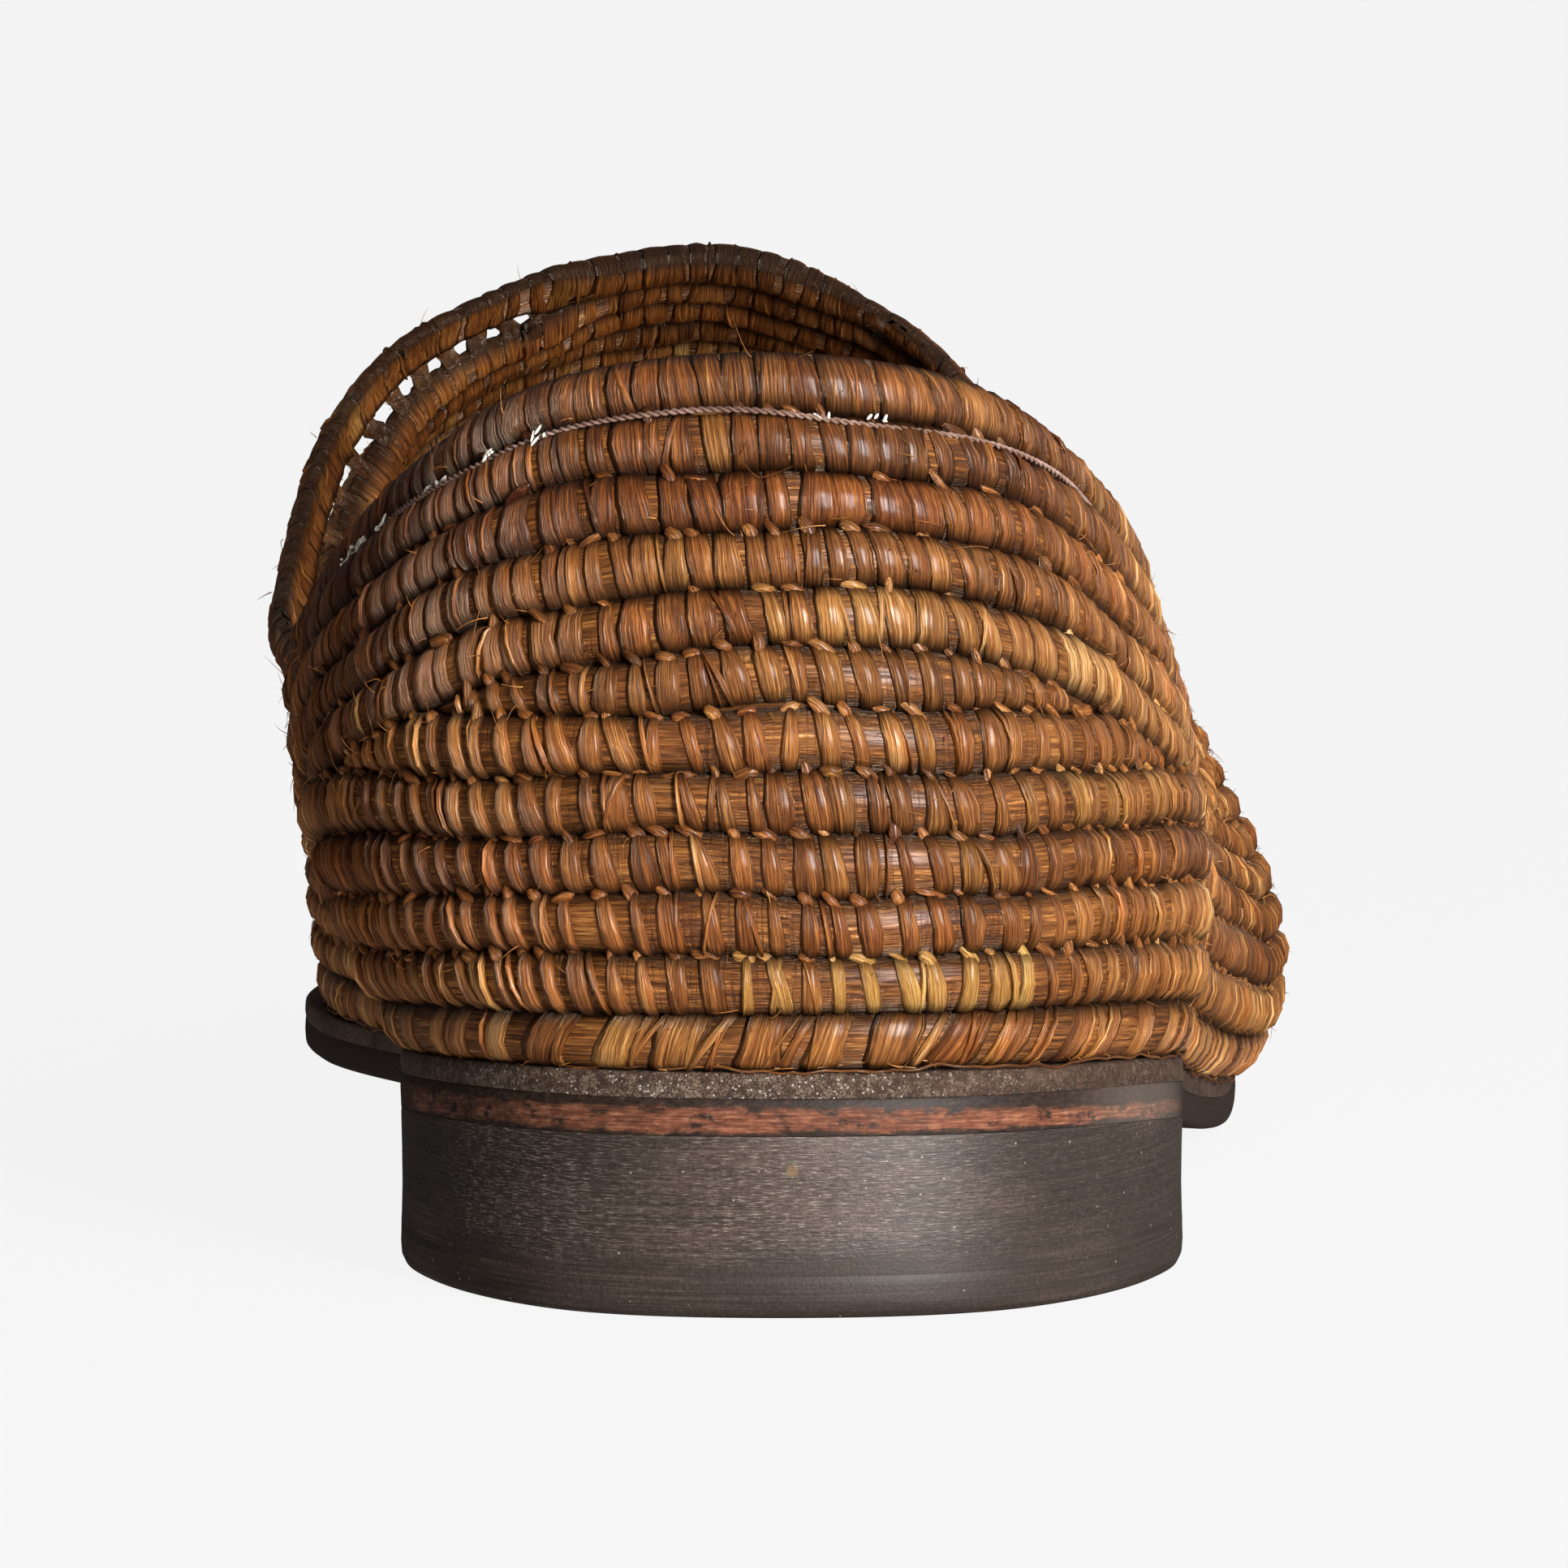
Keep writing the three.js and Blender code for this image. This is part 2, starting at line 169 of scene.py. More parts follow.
def underside(plan):
    """Height of the outsole's underside above the floor."""
    x, y = plan[..., 0], plan[..., 1]
    tread_start = TREAD_START - TREAD_SLANT * x / BALL_HALF_WIDTH
    t = np.clip((y - SHANK_START) / (tread_start - SHANK_START), 0, 1)
    heel_share = 1 - t * t * (3 - 2 * t)
    toe_share = np.maximum(0, y - TREAD_END) / (FOOT_LINE_LENGTH - TREAD_END)
    return HEEL_HEIGHT * heel_share + TOE_SPRING * toe_share**2


def raised(height, rise):
    """A height over the plan, moved up by a distance."""
    return lambda plan: height(plan) + rise


outsole_top = raised(underside, OUTSOLE_THICKNESS)
midsole_under = raised(outsole_top, PIECE_GAP)
midsole_top = raised(midsole_under, MIDSOLE_THICKNESS)
insole_under = raised(midsole_top, PIECE_GAP)
insole_top = raised(insole_under, INSOLE_THICKNESS)
heel_back = foot_plan(np.array([0.0]))
print("sole and heel at the back:", round(float(midsole_top(heel_back)[0]), 2), "mm")

# %% [markdown]
# ## The middle of the wall
# Each line of the wall is a curve with two handles, from the rim down to the sole. The curves are sampled
# once into a grid of evenly spaced points. After that, any place on the wall is a quick blend of four grid
# points, which is what makes thousands of raffia strips affordable.

# %% Sample the wall
PLACES_PER_STATION = 25
SHARES = 220
CURVE_STEPS = 400
LEAST_LEAD = 10

grid_places = np.arange(LOOP * PLACES_PER_STATION) / PLACES_PER_STATION
foot_xy = foot_plan(grid_places)
out_xy = outward(grid_places)
foot = np.column_stack([foot_xy, insole_under(foot_xy)])
rim = np.column_stack([
    column("rim_across", grid_places) * BALL_HALF_WIDTH,
    column("rim_along", grid_places) * FOOT_LINE_LENGTH,
    column("rim_up", grid_places) * INSTEP_HEIGHT,
])
lead = unit(foot_xy - rim[:, :2] + LEAST_LEAD * out_xy)
upper_handle = rim.copy()
upper_handle[:, :2] += lead * column("reach", grid_places)[:, None]
upper_handle[:, 2] -= column("drop", grid_places)
lower_handle = foot.copy()
lower_handle[:, :2] += out_xy * column("swell", grid_places)[:, None]
lower_handle[:, 2] += column("rise", grid_places)

t = np.linspace(0, 1, CURVE_STEPS + 1)[None, :, None]
curves = (
    rim[:, None] * (1 - t) ** 3
    + 3 * upper_handle[:, None] * t * (1 - t) ** 2
    + 3 * lower_handle[:, None] * t**2 * (1 - t)
    + foot[:, None] * t**3
)
pieces = np.linalg.norm(np.diff(curves, axis=1), axis=-1)
measured = np.concatenate([np.zeros((len(curves), 1)), np.cumsum(pieces, axis=1)], axis=1)
grid_height = measured[:, -1]
even = np.linspace(0, 1, SHARES + 1)
grid_points = np.stack([
    np.stack([np.interp(even * line[-1], line, curve[:, axis]) for axis in range(3)], -1)
    for curve, line in zip(curves, measured)
])
grid_down = unit(np.gradient(grid_points, axis=1))
grid_run = (np.roll(grid_points, -1, 0) - np.roll(grid_points, 1, 0)) * PLACES_PER_STATION / 2
grid_speed = np.linalg.norm(grid_run, axis=-1)
grid_out = unit(np.cross(grid_down, grid_run))
print("wall grid:", grid_points.shape[:2], "tallest line", round(grid_height.max(), 1), "mm")

# %% Find a place on the wall


def height_at(place):
    """Height of the wall, measured along it from the rim to the sole."""
    return np.interp(place % LOOP, np.append(grid_places, LOOP), np.append(grid_height, grid_height[0]))


def wall_at(place, below):
    """Point, outward direction, and millimetres per station at places on the wall below its rim."""
    place, below = np.broadcast_arrays(np.asarray(place, float), np.asarray(below, float))
    height = height_at(place)
    share = np.clip(below / height, 0, 1)
    beyond = below - share * height
    step_round = (place % LOOP) * PLACES_PER_STATION
    left = np.floor(step_round).astype(int)
    mix_round = step_round - left
    left %= len(grid_places)
    right = (left + 1) % len(grid_places)
    step_down = share * SHARES
    top = np.minimum(np.floor(step_down).astype(int), SHARES - 1)
    mix_down = step_down - top

    def blend(grid):
        """Mixes the four grid values round each place."""
        vectors = (..., None) if grid.ndim == 3 else ...
        r, d = mix_round[vectors], mix_down[vectors]
        upper = grid[left, top] * (1 - r) + grid[right, top] * r
        lower = grid[left, top + 1] * (1 - r) + grid[right, top + 1] * r
        return upper * (1 - d) + lower * d

    point = blend(grid_points) + blend(grid_down) * beyond[..., None]
    return point, unit(blend(grid_out)), blend(grid_speed)


heel_point, heel_out, _ = wall_at(np.array([0.0]), np.array([20.0]))
print("heel, 20 mm under the rim:", np.round(heel_point[0] - ORIGIN_ON_LAST, 1))
print("it faces:", np.round(heel_out[0], 2))

# %% [markdown]
# ## Rows of coil
# The wall is low at the waist and tall at the heel and over the toes, but a coil is always as thick. So rows
# come and go: even ones are laid down from the rim, odd ones up from the sole, and the last row between them
# thins out and ends. Row -1 is the rope under the wall. Under the rim of the throat, two rows are pulled
# apart to leave a line of small gaps.

# %% Shape of a row
COIL_PITCH = 4.4
CORE_HALF_HEIGHT = 0.53
CORE_HALF_DEPTH = 1.62
OUTER_SPAN = (4.9, 8.3, 11)
INNER_SPAN = (11.7, 15.1, 12)
GAP_SPANS = [OUTER_SPAN, INNER_SPAN]
GAP_HEIGHT = 1.5
GAP_FADE = 0.15
GAP_SLIM = 0.34
LIP_FADE = 0.7
FLARE_GROWS = (12.0, 13.8)
LIP_BELOW = [0.0, 2.2, 6.6, 11.0, 15.4, 20.0]
LIP_OUT = [0.7, 0.7, -2.1, -1.5, -0.6, 0.0]
FLARE_OUT = [2.1, 2.1, -0.4, -0.3, -0.1, 0.0]
WAVER = 0.11
SAG_FADE = 8
SLOW_SAG = 0.26
QUICK_SAG = 0.15
ARC_STEP = 0.01
LEAST_WIDTH = 0.06 * COIL_PITCH
LEAST_ARC_POINTS = 20
ROPE = -1
RIM_ROW = 0
SECOND_ROW = 2


def gap_share(place, fade=GAP_FADE, spans=GAP_SPANS):
    """One where the rows under the rim are pulled apart, and zero elsewhere."""
    share = np.zeros_like(place, dtype=float)
    for start, end, _ in spans:
        rise = np.clip(((place % LOOP) - start) / fade + 1.2, 0, 1)
        fall = np.clip((end - (place % LOOP)) / fade + 1.2, 0, 1)
        share = np.maximum(share, rise * fall)
    return share * share * (3 - 2 * share)


def row_shape(row, place):
    """How far below the rim the middle of a row lies, and how high the row is."""
    row, place = np.broadcast_arrays(np.asarray(row), np.asarray(place, float))
    upper_height = height_at(place) - COIL_PITCH
    width = np.clip(upper_height / COIL_PITCH - row, 0, 1) * COIL_PITCH
    laid_before = (row // 2) * COIL_PITCH
    from_rim = laid_before + width / 2
    from_foot = upper_height - laid_before - width / 2
    middle = np.where(row % 2 == 0, from_rim, from_foot)
    pulled = gap_share(place) * GAP_HEIGHT / 2
    middle = middle - np.where(row == RIM_ROW, pulled / 2, 0) + np.where(row == SECOND_ROW, pulled / 2, 0)
    width = width - np.where((row == RIM_ROW) | (row == SECOND_ROW), pulled, 0)
    return middle, width


def waver(row, place):
    """Slow hand-made unevenness of a row, out of the wall."""
    turn = 2 * np.pi * place / LOOP
    slow = np.sin(5 * turn + 2.4 * row) + 0.7 * np.sin(11 * turn + 4.1 * row)
    return WAVER * slow


def sag(place, below):
    """Slow wander of the rows up and down the wall, shared by neighbouring rows."""
    turn = 2 * np.pi * place / LOOP
    above_rope = height_at(place) - COIL_PITCH - below
    fade = np.clip(below / SAG_FADE, 0, 1) * np.clip(above_rope / SAG_FADE, 0, 1)
    return fade * (SLOW_SAG * np.sin(9 * turn + below * 0.16) + QUICK_SAG * np.sin(23 * turn - below * 0.3))


def lip(place, below):
    """How far the throat's rim flares out on the inner side, so that light comes through the gaps."""
    share = gap_share(place, LIP_FADE, [INNER_SPAN])
    flare = np.interp(place % LOOP, FLARE_GROWS, (0, 1))
    return share * (np.interp(below, LIP_BELOW, LIP_OUT) + flare * np.interp(below, LIP_BELOW, FLARE_OUT))


def skin(place, below):
    """Points on the worn wall, and their outward directions."""
    point, out, _ = wall_at(place, below + sag(place, below))
    return point + out * lip(place, below)[..., None], out


def on_coil(row, place, angle, lift):
    """Points on a coil, lifted off its core. The angle is 0 outside, a quarter turn at the top."""
    middle, width = row_shape(row, place)
    share = np.clip(width / COIL_PITCH, 0.02, 1)
    flat_lift = lift * (0.3 + 0.7 * np.cos(angle) ** 2)
    below = middle - np.sin(angle) * (CORE_HALF_HEIGHT * width + flat_lift)
    point, out = skin(place, below)
    by_gap = (row == RIM_ROW) | (row == SECOND_ROW)
    half_depth = CORE_HALF_DEPTH * np.sqrt(share) * (1 - GAP_SLIM * gap_share(place, LIP_FADE) * by_gap)
    offset = np.cos(angle) * (half_depth + lift) + waver(row, place)
    return point + out * offset[..., None]


def arcs_of_row(row):
    """Stretches of the loop on which a row exists, as dense lists of places."""
    dense = np.arange(0, LOOP, ARC_STEP)
    _, width = row_shape(row, dense)
    there = width > LEAST_WIDTH
    if there.all():
        return [np.append(dense, LOOP)], True
    starts = np.flatnonzero(there & ~np.roll(there, 1))
    found = []
    for start in starts:
        run = dense[start] + dense
        _, run_width = row_shape(row, run)
        length = int(np.argmin(run_width > LEAST_WIDTH))
        found.append(run[:length])
    return [arc for arc in found if len(arc) > LEAST_ARC_POINTS], False


last_row = int(np.floor((grid_height.max() - COIL_PITCH) / COIL_PITCH))
rows = {row: arcs_of_row(row) for row in range(ROPE, last_row + 1)}
print("rows:", len(rows), "of which whole loops:", sum(closed for _, closed in rows.values()))

# %% [markdown]
# ## Shader maths in plain Python
# Finishes are written as expressions. A small class wraps a node's output and overloads the operators, so
# that `1 - mask` adds the Math node by itself. Every other node comes from one method that takes the node's
# type, its settings and its sockets.

# %% A wrapped socket


class Wire:
    """An output of a shader node that can stand in an expression."""

    def __init__(self, tree, socket=None):
        self.tree = tree
        self.socket = socket

    def add(self, kind, settings, sockets, output=0):
        """Adds a node: its type, its settings, then the values or links of its sockets."""
        node = self.tree.nodes.new(kind)
        for name, value in settings.items():
            if name == "stops":
                while len(node.color_ramp.elements) < len(value):
                    node.color_ramp.elements.new(1.0)
                for element, (position, colour) in zip(node.color_ramp.elements, value):
                    element.position = position
                    element.color = colour
            else:
                setattr(node, name, value)
        for name, value in sockets.items():
            if isinstance(value, Wire):
                self.tree.links.new(value.socket, node.inputs[name])
            else:
                node.inputs[name].default_value = value
        return Wire(self.tree, node.outputs[output] if node.outputs else None)

    def math(self, operation, first, second):
        """Adds a Math node with two values."""
        return self.add("ShaderNodeMath", {"operation": operation}, {0: first, 1: second})

    def __add__(self, other):
        return self.math("ADD", self, other)

    def __radd__(self, other):
        return self.math("ADD", other, self)

    def __sub__(self, other):
        return self.math("SUBTRACT", self, other)

    def __rsub__(self, other):
        return self.math("SUBTRACT", other, self)

    def __mul__(self, other):
        return self.math("MULTIPLY", self, other)

    def __rmul__(self, other):
        return self.math("MULTIPLY", other, self)

    def power(self, other):
        return self.math("POWER", self, other)

    def between(self, low, high):
        """Zero below low, one above high, smooth in between."""
        settings = {"interpolation_type": "SMOOTHSTEP", "clamp": True}
        return self.add("ShaderNodeMapRange", settings, {"Value": self, "From Min": low, "From Max": high})

    def ramp(self, *stops):
        """A colour for each value, from pairs of position and colour."""
        return self.add("ShaderNodeValToRGB", {"stops": stops}, {"Fac": self})

    def mix(self, factor, other, blend="MIX"):
        """This colour, changed to the other one by a factor."""
        settings = {"data_type": "RGBA", "blend_type": blend, "clamp_factor": True}
        return self.add("ShaderNodeMix", settings, {0: factor, 6: self, 7: other}, 2)

    def stretched(self, *scale):
        """The same coordinates, scaled along each axis."""
        return self.add("ShaderNodeMapping", {"vector_type": "POINT"}, {"Vector": self, "Scale": scale})

    def noise(self, scale, detail=3.0, roughness=0.55):
        """Smooth chance values around one half."""
        sockets = {"Vector": self, "Scale": scale, "Detail": detail, "Roughness": roughness}
        return self.add("ShaderNodeTexNoise", {"noise_dimensions": "3D"}, sockets)

    def flecks(self, scale):
        """Distance to the nearest of many scattered points, in cells."""
        sockets = {"Vector": self, "Scale": scale}
        return self.add("ShaderNodeTexVoronoi", {"feature": "F1"}, sockets, "Distance")

    def separate(self):
        """The three parts of a vector."""
        return [self.add("ShaderNodeSeparateXYZ", {}, {"Vector": self}, axis) for axis in range(3)]

    def own_place(self):
        """Where a point of the object lies, in metres."""
        return self.add("ShaderNodeTexCoord", {}, {}, "Object")

    def uv(self, name):
        """A UV map by its name."""
        return self.add("ShaderNodeUVMap", {"uv_map": name}, {})


def paint(red, green, blue):
    """A screen colour of 0 to 255 as the linear colour that shaders use."""
    shares = [value / 255 for value in (red, green, blue)]
    linear = [s / 12.92 if s <= 0.04045 else ((s + 0.055) / 1.055) ** 2.4 for s in shares]
    return (*linear, 1.0)


def open_finish(name):
    """A new material without nodes, and a wire to write them with."""
    material = bpy.data.materials.new(name)
    material.use_nodes = True
    material.node_tree.nodes.clear()
    return material, Wire(material.node_tree)


def close_finish(pen, colour, roughness, height=None, depth=0.0001, strength=0.6, **constants):
    """Joins colour, roughness and relief to a surface shader. Constants go straight on its sockets."""
    sockets = {"Base Color": colour, "Roughness": roughness}
    if height is not None:
        bump = pen.add("ShaderNodeBump", {}, {"Strength": strength, "Distance": depth, "Height": height})
        sockets["Normal"] = bump
    for name, value in constants.items():
        sockets[name.replace("_", " ").title().replace("Ior", "IOR")] = value
    shader = pen.add("ShaderNodeBsdfPrincipled", {}, sockets)
    pen.add("ShaderNodeOutputMaterial", {}, {"Surface": shader})


print("shader helper ready")

# %% [markdown]
# ## The raffia finish
# Raffia is a leaf skin: waxy, streaked along its fibres, from pale straw to red-brown. Painted shade darkens
# it towards the grooves. On the outer side most of the wax is rubbed off. Each strip gets its own tone,
# warmth and gold in an attribute named tint, and a UV map named strand runs across and along the fibres in
# millimetres, so the streaks always follow the strip. A second attribute, relief, is one on the crown of a
# coil and falls to zero in the groove; it sets how much of the painted shade a point gets.

# %% Raffia
WAX = 0.6
WAX_ROUGHNESS = 0.27
WAX_IOR = 1.55
FIBRE_SHEEN = 0.6
SHEEN_TINT = (1.0, 0.79, 0.6, 1.0)
RUBBED_FROM = 0.006
RUBBED_TO = 0.026
RUBBED_OFF = 0.8
FIBRE_DEPTH = 0.0004
FIBRE_STRENGTH = 0.9


def raffia_finish(name, streaks, groove_shade, gloss, contrast, pleats=0.0):
    """Fibre streaks over a strip's own tone, darkened in the grooves by painted shade. Pleats are fine lines
    across them.
    """
    material, pen = open_finish(name)
    strand = pen.uv("strand")
    tint = pen.add("ShaderNodeAttribute", {"attribute_name": "tint"}, {}, "Vector")
    relief = pen.add("ShaderNodeAttribute", {"attribute_name": "relief"}, {}, "Fac")
    tone, warmth, gold = tint.separate()
    fine = strand.stretched(streaks, 0.16, 1).noise(1.0, 3.0, 0.75)
    broad = strand.stretched(streaks * 0.3, 0.25, 1).noise(1.0, 2.0)
    place = pen.own_place()
    patches = place.noise(140.0, 4.0)
    ridges = fine.between(0.3, 0.7)
    if pleats:
        lines = strand.stretched(0.3, 3.4, 1).noise(1.0, 2.0).between(0.36, 0.52)
        bare = strand.stretched(0.1, 0.12, 1).noise(1.0, 1.0).between(0.44, 0.56)
        ridges = ridges * (1 - bare * pleats * (1 - lines))
    level = tone + (ridges - 0.5) * contrast + (broad - 0.5) * 0.7 + (patches - 0.5) * 0.5
    brown = level.ramp(
        (0.0, paint(58, 26, 8)),
        (0.3, paint(112, 65, 28)),
        (0.55, paint(158, 99, 46)),
        (0.8, paint(196, 136, 70)),
        (1.0, paint(230, 182, 118)),
    )
    red = level.ramp(
        (0.0, paint(66, 25, 7)),
        (0.35, paint(134, 70, 26)),
        (0.65, paint(182, 105, 44)),
        (1.0, paint(224, 158, 92)),
    )
    straw = level.ramp(
        (0.0, paint(112, 66, 22)),
        (0.45, paint(192, 132, 56)),
        (1.0, paint(240, 196, 116)),
    )
    colour = brown.mix(warmth, red).mix(gold, straw)
    # Painted shade: the colour darkens towards the grooves and the strips' edges, where less light reaches.
    painted_groove_shade = (1 - relief).power(1.05) * groove_shade
    colour = colour.mix(painted_groove_shade, paint(32, 14, 5))
    roughness = gloss + (1 - ridges) * 0.3 + (patches - 0.5) * 0.2
    height = ridges * 0.5 + fine * 0.4 + broad * 0.6
    x, _, _ = place.separate()
    waxed = (1 - x.between(RUBBED_FROM, RUBBED_TO) * RUBBED_OFF) * WAX
    gloss_sockets = {
        "coat_weight": ridges * relief * waxed,
        "coat_roughness": WAX_ROUGHNESS,
        "coat_ior": WAX_IOR,
        "specular_ior_level": FIBRE_SHEEN,
        "specular_tint": SHEEN_TINT,
    }
    close_finish(pen, colour, roughness, height, FIBRE_DEPTH, FIBRE_STRENGTH, **gloss_sockets)
    return material


wrap_material = raffia_finish("raffia strips", 5.5, 0.95, 0.24, 0.62)
core_material = raffia_finish("raffia core", 4.6, 0.95, 0.2, 0.64, 0.6)
rope_material = raffia_finish("raffia rope", 5.0, 0.95, 0.22, 0.6)
print("raffia finishes:", wrap_material.name, core_material.name, rope_material.name)

# %% [markdown]
# ## From arrays to pieces
# Small things that repeat thousands of times are worked out together in arrays and joined into one mesh.
# Each maker below returns five lists: points, faces, UVs, tints and relief. These helpers turn the lists into
# a piece: they move the points from the last's millimetres into the frame, add the UV map and the
# attributes, smooth the faces, and let the piece ride on the shoe's one body.

# %% Helpers for pieces


def keep_piece(mesh, name, material, nodes=()):
    """Makes an object of a finished mesh and ties it to the frame."""
    piece = bpy.data.objects.new(name, mesh)
    bpy.context.scene.collection.objects.link(piece)
    mesh.materials.append(material)
    mesh.polygons.foreach_set("use_smooth", np.ones(len(mesh.polygons), bool))
    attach(piece, "root")
    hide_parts(*nodes)
    triangles = sum(len(polygon.vertices) - 2 for polygon in mesh.polygons)
    print(f"{name}: {triangles} triangles")
    return piece


def mesh_of_quads(name, points, quads, strand, tint, relief):
    """A mesh from points in the last's millimetres, with UVs by corner and tints by point."""
    mesh = bpy.data.meshes.new(name)
    places = (points.reshape(-1, 3) - ORIGIN_ON_LAST) * MM
    mesh.vertices.add(len(places))
    mesh.vertices.foreach_set("co", places.ravel())
    mesh.loops.add(quads.size)
    mesh.loops.foreach_set("vertex_index", quads.ravel())
    mesh.polygons.add(len(quads))
    mesh.polygons.foreach_set("loop_start", np.arange(len(quads)) * 4)
    mesh.update(calc_edges=True)
    mesh.uv_layers.new(name="strand").data.foreach_set("uv", strand.ravel())
    mesh.attributes.new("tint", "FLOAT_VECTOR", "POINT").data.foreach_set("vector", tint.ravel())
    mesh.attributes.new("relief", "FLOAT", "POINT").data.foreach_set("value", relief.ravel())
    mesh.validate()
    return mesh


def keep_quads(name, lists, material, nodes=()):
    """Makes a piece of the five lists."""
    return keep_piece(mesh_of_quads(name, *lists), name, material, nodes)


def five_lists(points, quads, strand, tint, relief):
    """Arrays of any shape as plain lists of points, faces, UVs, tints and relief."""
    return points.reshape(-1, 3), quads, strand.reshape(-1, 2), tint.reshape(-1, 3), relief.ravel()


def join(parts):
    """Joins several times five lists into one of each."""
    starts = np.cumsum([0] + [len(part[0]) for part in parts[:-1]])
    quads = np.concatenate([part[1] + start for part, start in zip(parts, starts)])
    points, strand, tint, relief = (np.concatenate([part[n] for part in parts]) for n in (0, 2, 3, 4))
    return points, quads, strand, tint, relief


def copied_quads(quads, size, count):
    """Faces of many copies of one small mesh, whose points follow each other."""
    return (quads[None] + size * np.arange(count)[:, None, None]).reshape(-1, 4)


def corner_steps(faces, around, side_steps):
    """Ring number and side number of every corner of a rolled grid's faces, for its UVs."""
    number = np.arange(faces)
    ring = np.stack([number // around + step for step in (0, 1, 1, 0)], -1)
    side = np.stack([number % around + step for step in side_steps], -1)
    return ring, side


def tube_quads(along, around, closed):
    """Corner numbers of the faces of a tube of rings, in rows of points, facing outwards."""
    steps = along if closed else along - 1
    ring, side = np.meshgrid(np.arange(steps), np.arange(around), indexing="ij")
    next_ring = (ring + 1) % along
    next_side = (side + 1) % around
    corners = [(ring, side), (next_ring, side), (next_ring, next_side), (ring, next_side)]
    return np.stack([a * around + b for a, b in corners], -1).reshape(-1, 4)


print("piece helpers ready")

# %% [markdown]
# ## Cores of the coils
# Under the winding, every row is a bundle of stiff fibres about four millimetres thick. It shows between the
# strips as fine lines along the row. A core is a grid whose one side runs along the row and whose other side
# is rolled up round it, so its UVs come for free.

# %% Build the cores
CORE_SIDES = 12
CORE_STEP = 2.2
CORE_TONE = 0.37
CORE_WARMTH = 0.35
CORE_GOLD = 0.05
# Relief sets the raffia's painted shade: none on a coil's crown, most in the groove. Cores lie under the
# strips and are scaled to get a little more of it.
CORE_RELIEF = 0.88
COIL_GIRTH = np.pi * (COIL_PITCH / 2 + CORE_HALF_DEPTH)
FACING_STEPS = (0.0, 0.5, 0.87, 1.0)
GROOVE_RELIEF = (0.0, 0.03, 0.74, 1.0)


def groove_relief(angle):
    """How far out of the groove a point on a coil lies: one on its crown, zero between two rows."""
    return np.interp(np.abs(np.cos(angle)), FACING_STEPS, GROOVE_RELIEF)


def row_line(row, arc):
    """Distances along a row, in millimetres, for a dense list of its places."""
    middle, _ = row_shape(row, arc)
    point, _, _ = wall_at(arc, middle)
    steps = np.linalg.norm(np.diff(point, axis=0), axis=-1)
    return np.concatenate([[0], np.cumsum(steps)])


def core_tube(row, arc, closed):
    """One row's core as a rolled grid."""
    run = row_line(row, arc)
    count = max(8, int(run[-1] / CORE_STEP))
    marks = np.linspace(0, run[-1], count, endpoint=not closed)
    places = np.interp(marks, run, arc)
    angles = np.linspace(0, 2 * np.pi, CORE_SIDES, endpoint=False) + np.pi
    place, angle = np.meshgrid(places, angles, indexing="ij")
    points = on_coil(row, place, angle, 0.0)
    if not closed:
        points[[0, -1]] = points[[0, -1]].mean(axis=1, keepdims=True)
    quads = tube_quads(count, CORE_SIDES, closed)
    ring, side = corner_steps(len(quads), CORE_SIDES, (0, 0, 1, 1))
    strand = np.stack([side * COIL_GIRTH / CORE_SIDES + 31 * row, ring * CORE_STEP], -1)
    tint = np.empty(points.shape)
    tint[..., 0] = CORE_TONE + 0.06 * np.sin(7 * place + 2 * row)
    tint[..., 1] = CORE_WARMTH
    tint[..., 2] = CORE_GOLD + 0.05 * np.sin(3 * place + row)
    return five_lists(points, quads, strand, tint, CORE_RELIEF * groove_relief(angle))


core_parts = [
    core_tube(row, arc, closed) for row, (arcs, closed) in rows.items() for arc in arcs if row != ROPE
]
keep_quads("coil_cores", join(core_parts), core_material, ["upper"])

# %% [markdown]
# ## The winding
# A strip leaves the groove above its row as a narrow twist, spreads over the coil like a leaf, and goes
# under. The rows near the rim are wound close, the lower ones more openly, and each row came from its own
# bundle, so rows differ in tone. Every strip here is a flat closed band bent round its coil. Its width, lean
# and tone vary by chance from a fixed seed.
#
# The first table gives for each row the pitch of its strips in millimetres, the share of it that a strip
# covers, its tone and its warmth. The tables of sides count stations from the heel's back, negative on the
# inner side: there the strips are redder, and on the outer side more ribbed. The upper rows are also made
# paler by painted light under the throat on the inner side, and towards the outer side, where the light
# comes from the right.

# %% How each row is wound
OPEN_WINDING = (2.4, 0.92, 0.48, 0.40)
WINDINGS = {
    0: (2.15, 1.12, 0.25, 0.35),
    2: (2.1, 1.02, 0.34, 0.40),
    4: (2.5, 1.08, 0.39, 0.85),
    6: (1.9, 1.02, 0.40, 0.25),
    8: (2.35, 1.0, 0.52, 0.35),
    10: (2.3, 0.94, 0.47, 0.25),
    9: (2.35, 0.92, 0.52, 0.50),
    7: (2.3, 0.95, 0.49, 0.20),
    5: (2.4, 0.92, 0.39, 0.50),
    3: (2.4, 0.92, 0.43, 0.55),
    1: (2.3, 0.86, 0.56, 0.35),
}
CLOSE_WOUND = 0.96
CLOSE_STRIP = {"pinch": 0.2, "taper": 0.08, "lean": 0.7, "crown": (0.12, 0.26), "edge": 0.2, "shade": 0.3}
OPEN_STRIP = {"pinch": 0.55, "taper": 0.34, "lean": 1.0, "crown": (0.3, 0.5), "edge": -0.12, "shade": 1.0}
MARK_SPREAD = 0.11
WIDTH_RANGE = (0.65, 1.3)
TONE_SPREAD = 0.06
WARMTH_SPREAD = 0.16
STRAY_GOLD = 0.03
RIM_FLATNESS = 0.7
